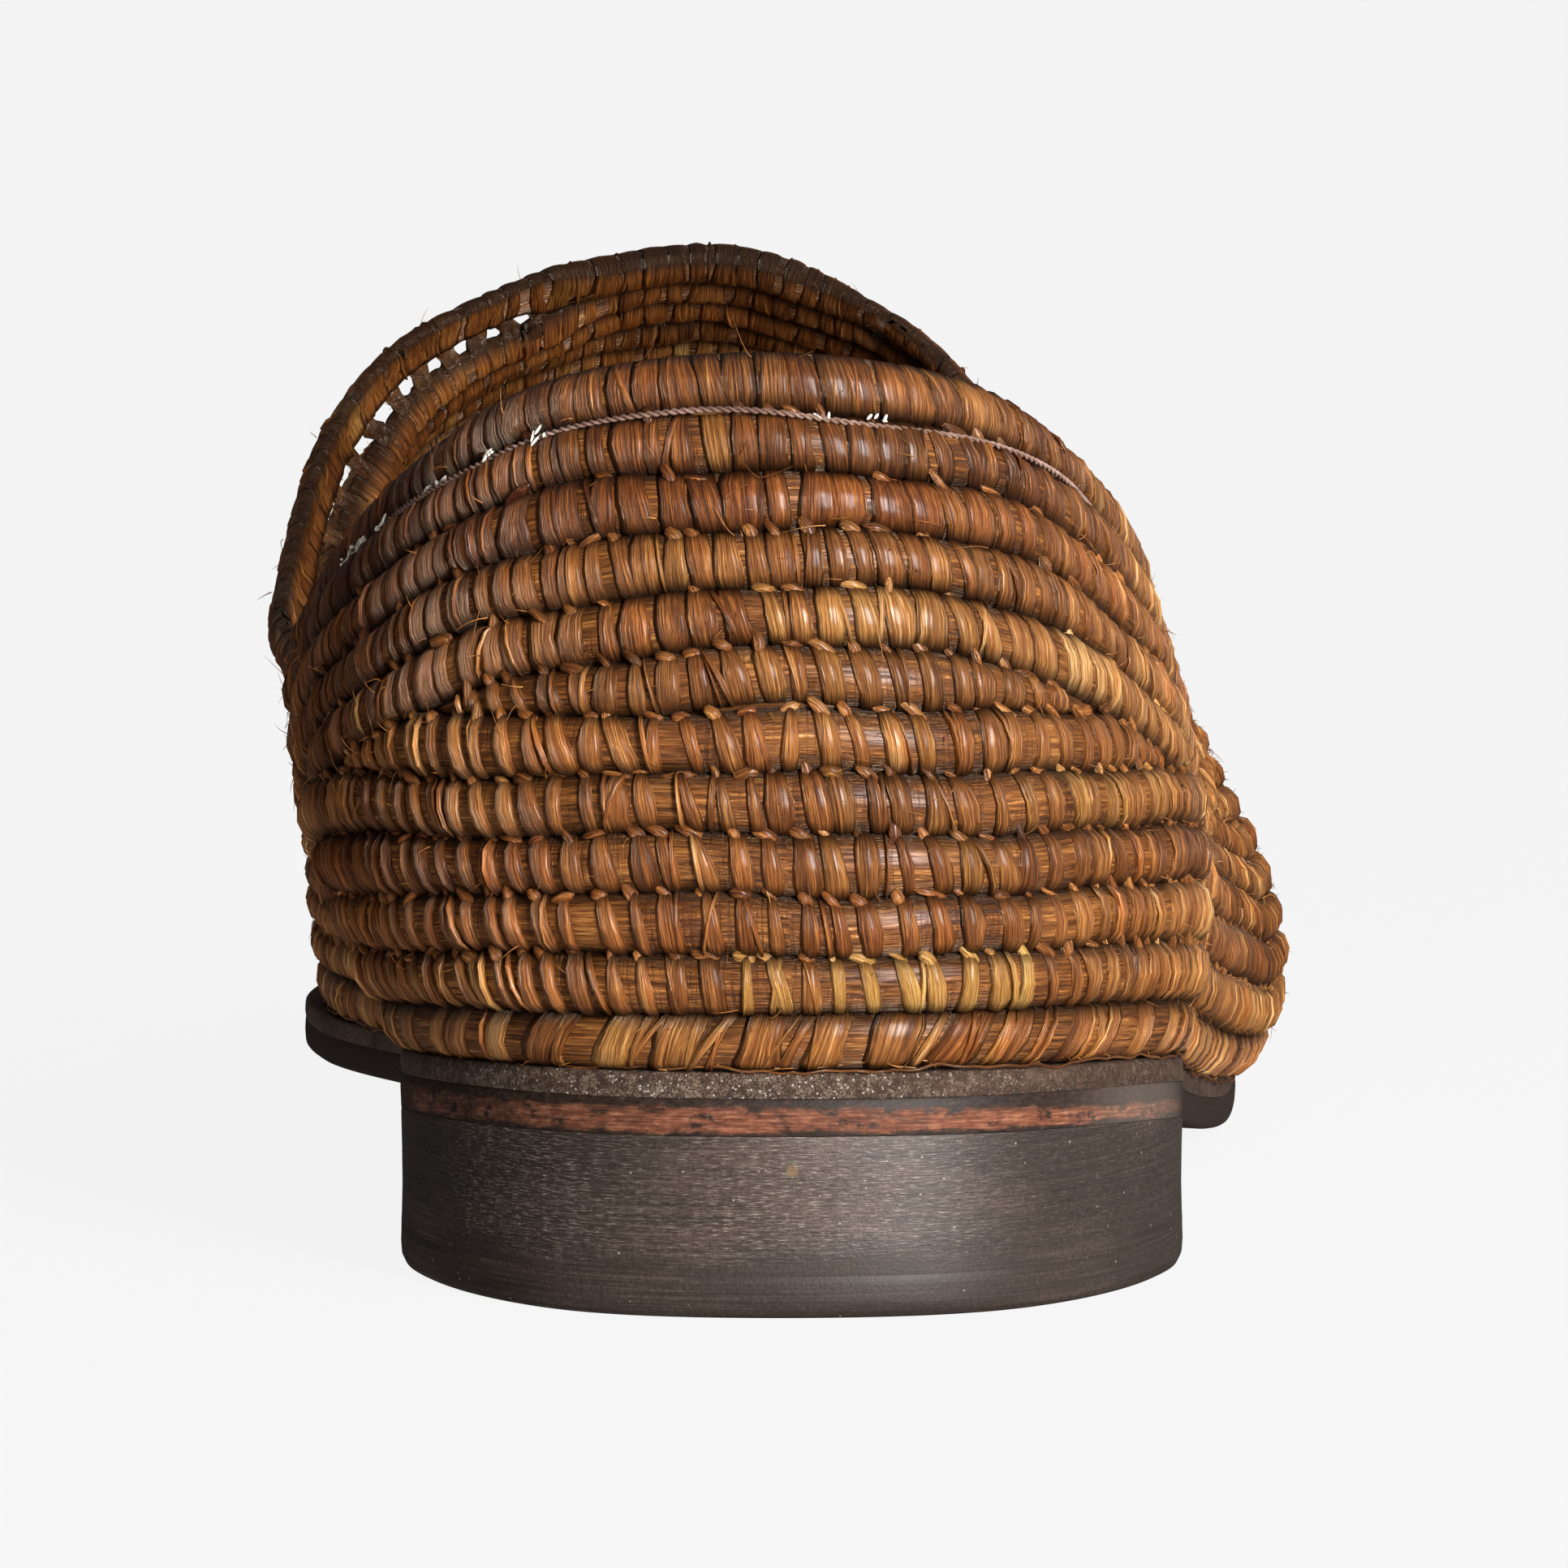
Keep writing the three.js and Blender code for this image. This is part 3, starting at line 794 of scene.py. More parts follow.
# Tone of the upper rows by side, partly their own and partly painted light: paler under the throat and on the
# outer side.
TONED_AND_LIT_SIDES = (-9.5, -8.0, -5.0, -1.6, -0.6, 0.0, 0.9, 2.0, 5.0)
SIDE_TONE_AND_LIGHT_OF_UPPER_ROWS = (0.06, 0.15, 0.15, -0.1, -0.08, 0.0, 0.0, 0.14, 0.06)
FADED_SIDES = (-6.0, -2.0, -0.2, 1.0, 2.5, 6.0)
SIDE_WARMTH = (0.1, 0.42, 0.1, -0.05, -0.2, 0.1)
RIBBED_SIDE = (0.5, 1.3, 3.0, 5.0)
RIBBED_SHARE = (0, 1, 1, 0)
GOLD_ROW = 1
GOLD_SPAN = (-0.3, 1.2)
GOLD_TONE = 0.62
PALE_ROW = 8
PALE_SPAN = (-0.1, 0.6)
LEAST_WOUND = 0.3 * COIL_PITCH
SPLIT_SHARE = 0.5


def within(signed, span):
    """True where a signed place lies inside a span."""
    return (signed > span[0]) & (signed < span[1])


def strips_on_row(row, arc):
    """Places, widths and tints of the strips on one stretch of a row."""
    pitch, cover, tone, warmth = WINDINGS.get(row, OPEN_WINDING)
    run = row_line(row, arc)
    count = int(run[-1] / pitch)
    marks = (np.arange(count) + 0.5) * run[-1] / count + chance.normal(0, MARK_SPREAD * pitch, count)
    place = np.interp(marks, run, arc)
    _, width_there = row_shape(row, place)
    place = place[width_there > LEAST_WOUND]
    count = len(place)
    width = pitch * cover * chance.uniform(*WIDTH_RANGE, count)
    drift = np.sin(3 * place + row) * 0.05 + np.sin(1.1 * place + 2 * row) * 0.06
    signed = (place + LOOP / 2) % LOOP - LOOP / 2
    # Painted light in the upper rows' tone: paler under the throat and towards the outer side.
    side_tone_and_light = np.interp(signed, TONED_AND_LIT_SIDES, SIDE_TONE_AND_LIGHT_OF_UPPER_ROWS) * (row % 2 == 0)
    strip_tone = tone + drift + side_tone_and_light + chance.normal(0, TONE_SPREAD, count)
    side_warmth = np.interp(signed, FADED_SIDES, SIDE_WARMTH)
    strip_warmth = np.clip(warmth + side_warmth + chance.normal(0, WARMTH_SPREAD, count), 0, 1)
    gold = np.where(chance.random(count) < STRAY_GOLD, chance.uniform(0.15, 0.45, count), 0)
    if row == GOLD_ROW:
        bright = within(signed, GOLD_SPAN) & (chance.random(count) < 0.75)
        gold = np.where(bright, chance.uniform(0.45, 0.95, count), gold)
        strip_tone = np.where(bright, GOLD_TONE + chance.normal(0, 0.07, count), strip_tone)
    if row == PALE_ROW:
        bright = within(signed, PALE_SPAN) & (chance.random(count) < 0.6)
        gold = np.where(bright, chance.uniform(0.1, 0.4, count), gold)
    close = cover > CLOSE_WOUND
    form = CLOSE_STRIP if close else OPEN_STRIP
    pinch = form["pinch"] * chance.uniform(0.7, 1.25, count)
    taper = form["taper"] * chance.uniform(0.6, 1.3, count)
    lean = chance.normal(0.55, 0.4, count) * form["lean"]
    crown = chance.uniform(*form["crown"], count)
    if row == RIM_ROW:
        crown = crown * RIM_FLATNESS
    ribbed = np.interp(signed, RIBBED_SIDE, RIBBED_SHARE) * close
    return {
        "row": np.full(count, row),
        "place": place,
        "width": width * (1 - 0.14 * ribbed),
        "tone": strip_tone,
        "warmth": strip_warmth,
        "gold": gold,
        "pinch": pinch,
        "taper": taper,
        "lean": lean,
        "crown": crown + 0.18 * ribbed,
        "edge": form["edge"] - 0.3 * ribbed,
        "shade": form["shade"] + 1.2 * ribbed,
    }


def split_strands(whole):
    """Narrow strands that have split from the strips and cross them at their own angle."""
    picked = chance.random(len(whole["place"])) < SPLIT_SHARE
    strands = {name: values[picked].copy() for name, values in whole.items()}
    count = len(strands["place"])
    middle, _ = row_shape(strands["row"], strands["place"])
    _, _, speed = wall_at(strands["place"], middle)
    strands["place"] = strands["place"] + chance.normal(0, 0.8, count) / speed
    strands["width"] = chance.uniform(0.28, 0.62, count)
    strands["lean"] = chance.normal(0.5, 0.7, count)
    strands["pinch"] = chance.uniform(0, 0.3, count)
    strands["taper"] = chance.uniform(0, 0.3, count)
    strands["crown"] = strands["crown"] + chance.uniform(0.03, 0.14, count)
    strands["edge"] = np.full(count, 0.1)
    strands["shade"] = np.full(count, 1.0)
    strands["tone"] = strands["tone"] + chance.normal(0.05, 0.12, count)
    return strands


strip_lists = [strips_on_row(row, arc) for row, (arcs, _) in rows.items() for arc in arcs if row != ROPE]
strips = {name: np.concatenate([entry[name] for entry in strip_lists]) for name in strip_lists[0]}
strands = split_strands(strips)
print("strips of raffia:", len(strips["place"]), "split strands:", len(strands["place"]))

# %% Bend the strips round their coils
AROUND = 12
ACROSS = np.array([-0.5, -0.28, 0.0, 0.28, 0.5])
ARCHED = np.array([0.74, 1.0, 0.74])
# Lower relief at a strip's edges paints shade where it meets its neighbours; the shade key says how strongly.
EDGE_RELIEF = np.array([0.84, 0.97, 1.0, 0.97, 0.84])
STRIP_SIZE = AROUND * len(ACROSS)


def tints_of(chosen):
    """Tone, warmth and gold of strips, side by side."""
    return np.stack([chosen[name] for name in ("tone", "warmth", "gold")], -1)


def bent_strips(chosen):
    """Closed bands bent round their coils."""
    count = len(chosen["place"])
    row, place, width, pinch, taper, lean, crown, shade = (
        chosen[name][:, None, None]
        for name in ("row", "place", "width", "pinch", "taper", "lean", "crown", "shade")
    )
    angle = (2 * np.pi * np.arange(AROUND) / AROUND + np.pi)[None, :, None]
    top_share = (1 + np.sin(angle)) / 2
    ripple = 1 + 0.1 * np.sin(2 * angle + chance.uniform(0, 6.3, (count, 1, 1)))
    ripple = ripple + 0.06 * np.sin(5 * angle + chance.uniform(0, 6.3, (count, 1, 1)))
    narrowed = pinch * top_share**1.6 + taper * (1 - top_share) ** 2
    spread = width * ripple * (1 - narrowed)
    along = spread * ACROSS - 0.5 * lean * np.sin(angle) + 0.16 * np.cos(angle) * lean
    middle, _ = row_shape(chosen["row"], chosen["place"])
    _, _, speed = wall_at(chosen["place"], middle)
    vertex_place = place + along / speed[:, None, None]
    uneven = ARCHED * (1 + chance.normal(0, 0.16, (count, 3)))
    lifted = np.column_stack([chosen["edge"], uneven, chosen["edge"]])
    whole_row, whole_angle, lift = (
        np.broadcast_to(values, along.shape) for values in (row, angle, crown * lifted[:, None, :])
    )
    points = on_coil(whole_row, vertex_place, whole_angle, lift)
    one = tube_quads(AROUND, len(ACROSS), True)[:, ::-1]
    ring, side = corner_steps(len(one), len(ACROSS), (1, 1, 0, 0))
    own = chance.uniform(0, 400, (count, 1, 1))
    side_marks = np.append(ACROSS, 1.5)
    across_mm = side_marks[side][None] * width + own
    along_mm = np.broadcast_to(ring[None] * COIL_GIRTH / AROUND + own, across_mm.shape)
    strand = np.stack([across_mm, along_mm], -1)
    relief = np.broadcast_to(groove_relief(angle) * (1 - shade * (1 - EDGE_RELIEF)), along.shape)
    tint = np.broadcast_to(tints_of(chosen)[:, None, None, :], (*along.shape, 3))
    return five_lists(points, copied_quads(one, STRIP_SIZE, count), strand, tint, relief)


def signed_volume(points, quads):
    """Volume inside the faces: negative when they point inwards."""
    a, b, c, d = (points[quads[:, corner]] for corner in range(4))
    first = np.einsum("ij,ij->i", a, np.cross(b, c))
    second = np.einsum("ij,ij->i", a, np.cross(c, d))
    return float((first + second).sum() / 6)


winding = {name: np.concatenate([strips[name], strands[name]]) for name in strips}
winding_middle, _ = row_shape(winding["row"], winding["place"])
winding_point, _, _ = wall_at(winding["place"], winding_middle)
winding_y = winding_point[:, 1] - ORIGIN_ON_LAST[1]
REGIONS = {
    "heel_winding": (-200, -62),
    "side_winding": (-62, 12),
    "vamp_winding": (12, 62),
    "toe_winding": (62, 200),
}
for name, (start, end) in REGIONS.items():
    inside = (winding_y >= start) & (winding_y < end)
    band = bent_strips({key: values[inside] for key, values in winding.items()})
    print(name, "volume per strip", round(signed_volume(band[0], band[1]) / inside.sum(), 2), "cubic mm")
    keep_quads(name, band, wrap_material)

# %% [markdown]
# ## Knots in the grooves
# Where a strip passes under the row above, it is twisted into a small slanting lump. One lump is modelled
# from a cube that is divided once and rounded, so it has only two dozen faces, and it is set at the head of
# most strips. Under the throat's rim larger ones bridge the two rows, and the gaps stay open between them.

# %% Model one knot
block = bmesh.new()
bmesh.ops.create_cube(block, size=2.0)
bmesh.ops.subdivide_edges(block, edges=block.edges[:], cuts=1, use_grid_fill=True)
for vertex in block.verts:
    vertex.co.normalize()
block.verts.index_update()
knot_points = np.array([vertex.co[:] for vertex in block.verts])
knot_quads = np.array([[vertex.index for vertex in reversed(face.verts)] for face in block.faces])
block.free()
print("one knot:", len(knot_quads), "faces")

# %% Set the knots


def set_knots(place, below, offset, size, tilt, tint, waist=0.0):
    """Knots on the wall: half sizes along, down and out of it, a turn in its surface and a waist."""
    a, b, c = (knot_points[None, :, axis] * size[:, axis : axis + 1] for axis in range(3))
    a = a * (1 + waist * (2 * np.abs(knot_points[None, :, 1]) - 1))
    along = a * np.cos(tilt)[:, None] - b * np.sin(tilt)[:, None]
    down = a * np.sin(tilt)[:, None] + b * np.cos(tilt)[:, None]
    _, _, speed = wall_at(place, below)
    vertex_place = place[:, None] + along / speed[:, None]
    vertex_below = below[:, None] + down
    point, out = skin(vertex_place, vertex_below)
    points = point + out * (offset[:, None] + c)[..., None]
    quads = copied_quads(knot_quads, len(knot_points), len(place))
    own = chance.uniform(0, 400, (len(place), 1))
    strand = np.stack([b + c + own, a + own], -1).reshape(-1, 2)[quads]
    # Relief falls on a knot's side towards the wall, which gets painted shade.
    relief = np.clip(0.45 + 0.5 * c / size[:, 2:3], 0, 1)
    return five_lists(points, quads, strand, np.broadcast_to(tint[:, None, :], points.shape), relief)


KNOT_HALF_SIZE = np.array([1.2, 0.44, 0.46])
KNOT_OUT = 0.8
KNOT_SHARE = 0.55
TIGHT_PINCH = 0.3
tied = (strips["pinch"] > TIGHT_PINCH) | (chance.random(len(strips["row"])) < KNOT_SHARE)
by_gap = (strips["row"] == SECOND_ROW) & (gap_share(strips["place"]) > 0.1)
with_knot = (strips["row"] != RIM_ROW) & tied & ~by_gap
headed = {name: values[with_knot] for name, values in strips.items()}
knot_count = len(headed["place"])
knot_middle, knot_width = row_shape(headed["row"], headed["place"])
_, _, knot_speed = wall_at(headed["place"], knot_middle)
knot_tint = tints_of(headed)
knot_tint[:, 0] += chance.normal(-0.02, 0.07, knot_count)
knots = set_knots(
    headed["place"] - (0.5 * headed["lean"] + 0.1) / knot_speed,
    knot_middle - 0.49 * knot_width + chance.normal(0.05, 0.12, knot_count),
    KNOT_OUT + chance.normal(0.0, 0.12, knot_count),
    KNOT_HALF_SIZE * chance.uniform(0.6, 1.3, (knot_count, 3)),
    chance.normal(0.7, 0.45, knot_count),
    knot_tint,
)

BRIDGE_HALF_SIZE = np.array([1.5, 1.2, 0.85])
BRIDGE_WAIST = 0.4
bridge_place = np.concatenate([
    start + (end - start) * (np.arange(number + 1) - 0.5) / (number - 1) for start, end, number in GAP_SPANS
])
bridge_count = len(bridge_place)
bridge_tint = np.column_stack([
    chance.normal(0.42, 0.08, bridge_count),
    chance.uniform(0.1, 0.5, bridge_count),
    np.zeros(bridge_count),
])
bridges = set_knots(
    bridge_place,
    np.full(bridge_count, COIL_PITCH),
    np.zeros(bridge_count),
    BRIDGE_HALF_SIZE * chance.uniform(0.85, 1.15, (bridge_count, 3)),
    chance.normal(0.15, 0.12, bridge_count),
    bridge_tint,
    BRIDGE_WAIST,
)
keep_quads("groove_knots", join([knots, bridges]), wrap_material)

# %% [markdown]
# ## The rope under the wall
# The wall stands on one wrapped rope. Its strips are broad and lie aslant, with some of the core showing
# between them, and narrow loose strands cross them. The same rolled core and bent bands make it, only wider
# and leaning the other way.

# %% Build the rope
ROPE_PITCH = 5.0
ROPE_TONE = 0.55
rope_arcs, rope_closed = rows[ROPE]
rope_core = core_tube(ROPE, rope_arcs[0], rope_closed)
rope_run = row_line(ROPE, rope_arcs[0])
wraps = int(rope_run[-1] / ROPE_PITCH)
rope_marks = (np.arange(wraps) + 0.5) * rope_run[-1] / wraps + chance.normal(0, 0.7, wraps)
rope_strips = {
    "row": np.full(wraps, ROPE),
    "place": np.interp(rope_marks, rope_run, rope_arcs[0]),
    "width": chance.uniform(1.8, 4.4, wraps),
    "tone": chance.normal(ROPE_TONE, 0.1, wraps),
    "warmth": np.clip(chance.normal(0.5, 0.25, wraps), 0, 1),
    "gold": np.where(chance.random(wraps) < 0.08, 0.3, 0.0),
    "pinch": chance.uniform(0.0, 0.4, wraps),
    "taper": chance.uniform(0.0, 0.4, wraps),
    "lean": -chance.uniform(1.2, 2.8, wraps),
    "crown": chance.uniform(0.1, 0.28, wraps),
    "edge": np.full(wraps, 0.05),
    "shade": np.full(wraps, 0.6),
}
rope_strands = dict(rope_strips)
rope_strands["place"] = chance.uniform(0, LOOP, wraps)
rope_strands["width"] = chance.uniform(0.3, 1.1, wraps)
rope_strands["lean"] = -chance.normal(2.2, 0.9, wraps)
rope_strands["tone"] = chance.normal(ROPE_TONE, 0.13, wraps)
rope_strands["crown"] = chance.uniform(0.2, 0.42, wraps)
rope_parts = [rope_core, bent_strips(rope_strips), bent_strips(rope_strands)]
keep_quads("foundation_rope", join(rope_parts), rope_material, ["foundation_coil"])
print("rope:", round(float(rope_run[-1]), 1), "mm long,", wraps, "wraps")

# %% [markdown]
# ## Threads
# A two-ply sewing thread, faded to mauve, lies in the groove under the rim round the back of the heel, with a
# few pale stitches beside it. Two thin tubes that turn round each other read as twisted thread. A single
# uneven strand runs along the foot of the rope.

# %% Twist the thread
THREAD_RELIEF = 0.9
THREAD_RADIUS = 0.13
THREAD_SIDES = 6
THREAD_TWIST = 1.25
THREAD_TINT = (0.5, 0.2, 0.0)
THREAD_SPAN = (-1.75, 2.3)
THREAD_POINTS = 900
THREAD_BELOW = COIL_PITCH + 0.45
THREAD_OUT = 1.38
PLY_SWING = 0.12


def groove_tube(place, below, offset, radius, sides, tint):
    """A thin tube along the wall: where it runs, how far out it lies, and its radius."""
    angle = np.linspace(0, 2 * np.pi, sides, endpoint=False)[None, :] + np.pi
    ring_below = below[:, None] - radius * np.sin(angle)
    ring_place = np.broadcast_to(place[:, None], ring_below.shape)
    point, out = skin(ring_place, ring_below)
    points = point + out * (offset[:, None] + radius * np.cos(angle))[..., None]
    quads = tube_quads(len(place), sides, False)
    ring, side = np.meshgrid(np.arange(len(place)), np.arange(sides), indexing="ij")
    strand = np.stack([side * 0.25, ring * 0.2], -1).reshape(-1, 2)[quads]
    tints = np.broadcast_to(np.array(tint), points.shape)
    return five_lists(points, quads, strand, tints, np.full(points.shape[:2], THREAD_RELIEF))


thread_place = np.linspace(*THREAD_SPAN, THREAD_POINTS)
thread_middle, _, _ = wall_at(thread_place, np.full(THREAD_POINTS, COIL_PITCH))
thread_run = np.concatenate([[0], np.cumsum(np.linalg.norm(np.diff(thread_middle, axis=0), axis=-1))])
thread_plies = []
for ply in range(2):
    turn = 2 * np.pi * thread_run / THREAD_TWIST + ply * np.pi
    ply_below = THREAD_BELOW + PLY_SWING * np.sin(turn) + 0.3 * np.sin(thread_run / 6.1)
    ply_offset = THREAD_OUT + PLY_SWING * np.cos(turn) + 0.28 * np.sin(thread_run / 4.3)
    ply_tube = groove_tube(thread_place, ply_below, ply_offset, THREAD_RADIUS, THREAD_SIDES, THREAD_TINT)
    thread_plies.append(ply_tube)


def thread_finish():
    """Faded mauve cotton with a fine dark twist."""
    material, pen = open_finish("mauve thread")
    place = pen.own_place()
    fade = place.noise(160.0, 3.0)
    fuzz = place.noise(2600.0, 2.0)
    x, _, _ = place.separate()
    level = fade * 0.6 + fuzz * 0.4 + x.between(0.008, 0.024) * 0.16
    colour = level.ramp((0.3, paint(78, 50, 38)), (0.55, paint(124, 94, 80)), (0.75, paint(178, 150, 136)))
    close_finish(pen, colour, 0.75 + fuzz * 0.15, fuzz, 0.00005, 0.4)
    return material


keep_quads("groove_thread", join(thread_plies), thread_finish())
print("thread:", round(float(thread_run[-1]), 1), "mm long")

# %% Strand along the rope's foot
EDGE_POINTS = 1600
EDGE_RADIUS = 0.11
EDGE_SIDES = 5
EDGE_TINT = (0.34, 0.3, 0.0)
EDGE_ABOVE_FOOT = 0.35
EDGE_OUT = 1.45
SUNK_STATIONS = 3
SUNK_FADE = 0.8
SUNK_BY = 0.6
edge_place = np.linspace(0, LOOP, EDGE_POINTS)
edge_wander = (
    0.25 * np.sin(7.3 * edge_place) + 0.18 * np.sin(17.1 * edge_place + 1) + 0.1 * np.sin(41 * edge_place)
)
edge_below = height_at(edge_place) - EDGE_ABOVE_FOOT + edge_wander * 0.6
sunk = (edge_place > LOOP - SUNK_STATIONS) * np.clip((LOOP - edge_place) / SUNK_FADE, 0, 1)
edge_offset = EDGE_OUT + 0.15 * np.sin(29 * edge_place) - SUNK_BY * sunk
edge_strand = groove_tube(edge_place, edge_below, edge_offset, EDGE_RADIUS, EDGE_SIDES, EDGE_TINT)
keep_quads("rope_edge_strand", edge_strand, rope_material)

# %% Pale stitches
STITCH_PLACES = np.array([-2.1, -2.05, -2.0, -1.95, -1.8, -1.5, -1.4, -1.15, -0.9, 0.26, 0.5])
FIBRES_PER_STITCH = 4
STITCH_HALF_SIZE = np.array([0.42, 0.11, 0.16])
STITCH_OUT = 1.5
stitch_count = len(STITCH_PLACES) * FIBRES_PER_STITCH


def stitch_finish():
    """Undyed cotton, slightly soiled."""
    material, pen = open_finish("pale stitches")
    place = pen.own_place()
    fuzz = place.noise(1800.0, 3.0)
    colour = fuzz.ramp((0.3, paint(176, 160, 140)), (0.6, paint(232, 226, 214)))
    close_finish(pen, colour, 0.8 + fuzz * 0.1, fuzz, 0.00008, 0.5)
    return material


stitches = set_knots(
    STITCH_PLACES.repeat(FIBRES_PER_STITCH) + chance.normal(0, 0.015, stitch_count),
    THREAD_BELOW + chance.normal(0, 0.22, stitch_count),
    np.full(stitch_count, STITCH_OUT),
    STITCH_HALF_SIZE * chance.uniform(0.5, 1.3, (stitch_count, 3)),
    chance.uniform(-1.5, 1.5, stitch_count),
    np.zeros((stitch_count, 3)),
)
keep_quads("pale_stitches", stitches, stitch_finish())

# %% [markdown]
# ## Loose fibres
# Old raffia sheds. Short hairs lift off the strips everywhere, and in a few rubbed places on the inner side
# and over the ball they stand out as small tufts. The foot of the rope is frayed, and two longer hairs rise
# from the rim. A hair is a thin bent tube with three sides, and all of them are joined in one mesh. A tuft is
# given by its place, its share of the wall's height, its number of hairs and their length.

# %% Grow the hairs
HAIR_POINTS = 5
HAIR_SIDES = 3
HAIR_ROOT = 1.2
HAIR_RELIEF = 0.85
HAIR_RADIUS = (0.035, 0.075)
LONG_HAIR_PLACES = [0.0, 19.5]
LONG_HAIR_BELOW = [0.6, 0.7]
LONG_HAIR_REACH = [[-1.2, -3.4, 0.3], [1.6, -1.4, 0.6]]


def grow_hairs(place, below, reach, radius):
    """Bent hairs on the wall. Reach is how far a tip goes along, down and out, in millimetres."""
    t = np.linspace(0, 1, HAIR_POINTS)[None, :]
    _, _, speed = wall_at(place, below)
    along = reach[:, 0:1] * t
    down = reach[:, 1:2] * t**1.6
    up_out = HAIR_ROOT + reach[:, 2:3] * t * (1.35 - 0.35 * t)
    hair_place = place[:, None] + along / speed[:, None]
    point, out = skin(hair_place, below[:, None] + down)
    lines = point + out * up_out[..., None]
    ahead = unit(np.gradient(lines, axis=1))
    across = unit(np.cross(ahead, np.array([0.35, 0.25, 0.9])))
    over = np.cross(ahead, across)
    angle = np.arange(HAIR_SIDES) * 2 * np.pi / HAIR_SIDES
    thick = radius[:, None] * (1 - 0.8 * t)
    ring = across[:, :, None] * np.cos(angle)[:, None] + over[:, :, None] * np.sin(angle)[:, None]
    points = lines[:, :, None] + ring * thick[:, :, None, None]
    one = tube_quads(HAIR_POINTS, HAIR_SIDES, False)[:, ::-1]
    size = HAIR_POINTS * HAIR_SIDES
    quads = copied_quads(one, size, len(place))
    strand = np.zeros((quads.size, 2)) + chance.uniform(0, 300, (quads.size // 4, 1)).repeat(4, 0)
    tone = np.column_stack([chance.normal(0.42, 0.12, len(place)), chance.uniform(0, 0.6, len(place))])
    tint = np.column_stack([tone, chance.uniform(0, 0.3, len(place))]).repeat(size, 0)
    return five_lists(points, quads, strand, tint, np.full(points.shape[:-1], HAIR_RELIEF))


SCATTERED = 1500
hair_place = chance.uniform(0, LOOP, SCATTERED)
hair_below = chance.uniform(0.02, 0.98, SCATTERED) * (height_at(hair_place) - 2)
hair_reach = np.column_stack([
    chance.normal(0, 1.2, SCATTERED),
    chance.normal(0, 0.9, SCATTERED),
    chance.uniform(0.5, 1.4, SCATTERED),
])
TUFTS = [
    (18.35, 0.52, 14, 2.4), (18.5, 0.44, 10, 2.2), (18.1, 0.6, 10, 2.0), (18.9, 0.33, 8, 2.2),
    (6.0, 0.5, 60, 1.0), (6.4, 0.62, 60, 1.0), (5.7, 0.7, 50, 1.0), (1.6, 0.1, 8, 1.8),
]
tuft_place, tuft_below, tuft_reach = [], [], []
for place, share, number, length in TUFTS:
    spots = place + chance.normal(0, 0.09, number)
    tuft_place.append(spots)
    tuft_below.append(share * height_at(spots) + chance.normal(0, 1.8, number))
    tuft_reach.append(chance.normal(0, 0.6, (number, 3)) * length)
    tuft_reach[-1][:, 2] = 0.5 + chance.uniform(0.0, 0.5, number) * length
FRAYED = 420
fray_place = chance.uniform(0, LOOP, FRAYED)
fray_below = height_at(fray_place) - chance.uniform(0.2, 1.2, FRAYED)
fray_reach = np.column_stack([
    chance.normal(0, 2.0, FRAYED),
    chance.uniform(-0.4, 0.5, FRAYED),
    chance.uniform(-0.3, 0.25, FRAYED),
])
place_all = np.concatenate([hair_place, *tuft_place, fray_place, LONG_HAIR_PLACES])
below_all = np.concatenate([hair_below, *tuft_below, fray_below, LONG_HAIR_BELOW])
reach_all = np.concatenate([hair_reach, *tuft_reach, fray_reach, LONG_HAIR_REACH])
hairs = grow_hairs(place_all, below_all, reach_all, chance.uniform(*HAIR_RADIUS, len(place_all)))
keep_quads("loose_fibres", hairs, wrap_material)

# %% [markdown]
# ## Layers of the sole
# A sole layer is cut to the shoe's outline. It starts as a circle of points laid on that outline. Its edge is
# extruded from ring to ring, so the rounding of the rim comes from where the rings lie, and the two faces are
# closed by bridging the left half of the last ring to the right half. A UV map named edge measures along the
# outline and up from the layer's lower face, in metres, for marks that follow the edge.

# %% Build a layer from rings


def edge_ring(place, shift, height):
    """A ring along the sole's edge, moved outward by a distance, at a height over each plan point."""
    plan = foot_plan(place) + outward(place) * (column("ledge", place) + shift)[:, None]
    return np.column_stack([plan, height(plan)])


def foot_ring(place, shift, height):
    """A ring inside the line where the wall meets the sole."""
    plan = foot_plan(place) - outward(place) * shift
    return np.column_stack([plan, height(plan)])


def run_along(ring):
    """Distance of each ring point from the heel's back, positive on the little-toe side, in metres."""
    steps = np.linalg.norm(np.diff(ring[:, :2], axis=0, append=ring[:1, :2]), axis=-1) * MM
    run = np.concatenate([[0], np.cumsum(steps)])
    return np.where(run[:-1] > run[-1] / 2, run[:-1] - run[-1], run[:-1])


def close_end(bm, ring):
    """Closes a ring with faces from its right half to its left half."""
    count = len(ring)
    half = (count - 1) // 2
    right = ring[1 : half + 1]
    left = ring[: count - half - 1 : -1]
    chain = []
    for side in (right, left):
        chain += [bm.edges.get((first, second)) for first, second in zip(side, side[1:])]
    made = bmesh.ops.bridge_loops(bm, edges=chain)["faces"]
    made.append(bm.faces.new((ring[-1], ring[0], ring[1])))
    if count % 2 == 0:
        made.append(bm.faces.new((ring[half], ring[half + 1], ring[half + 2])))
    return made


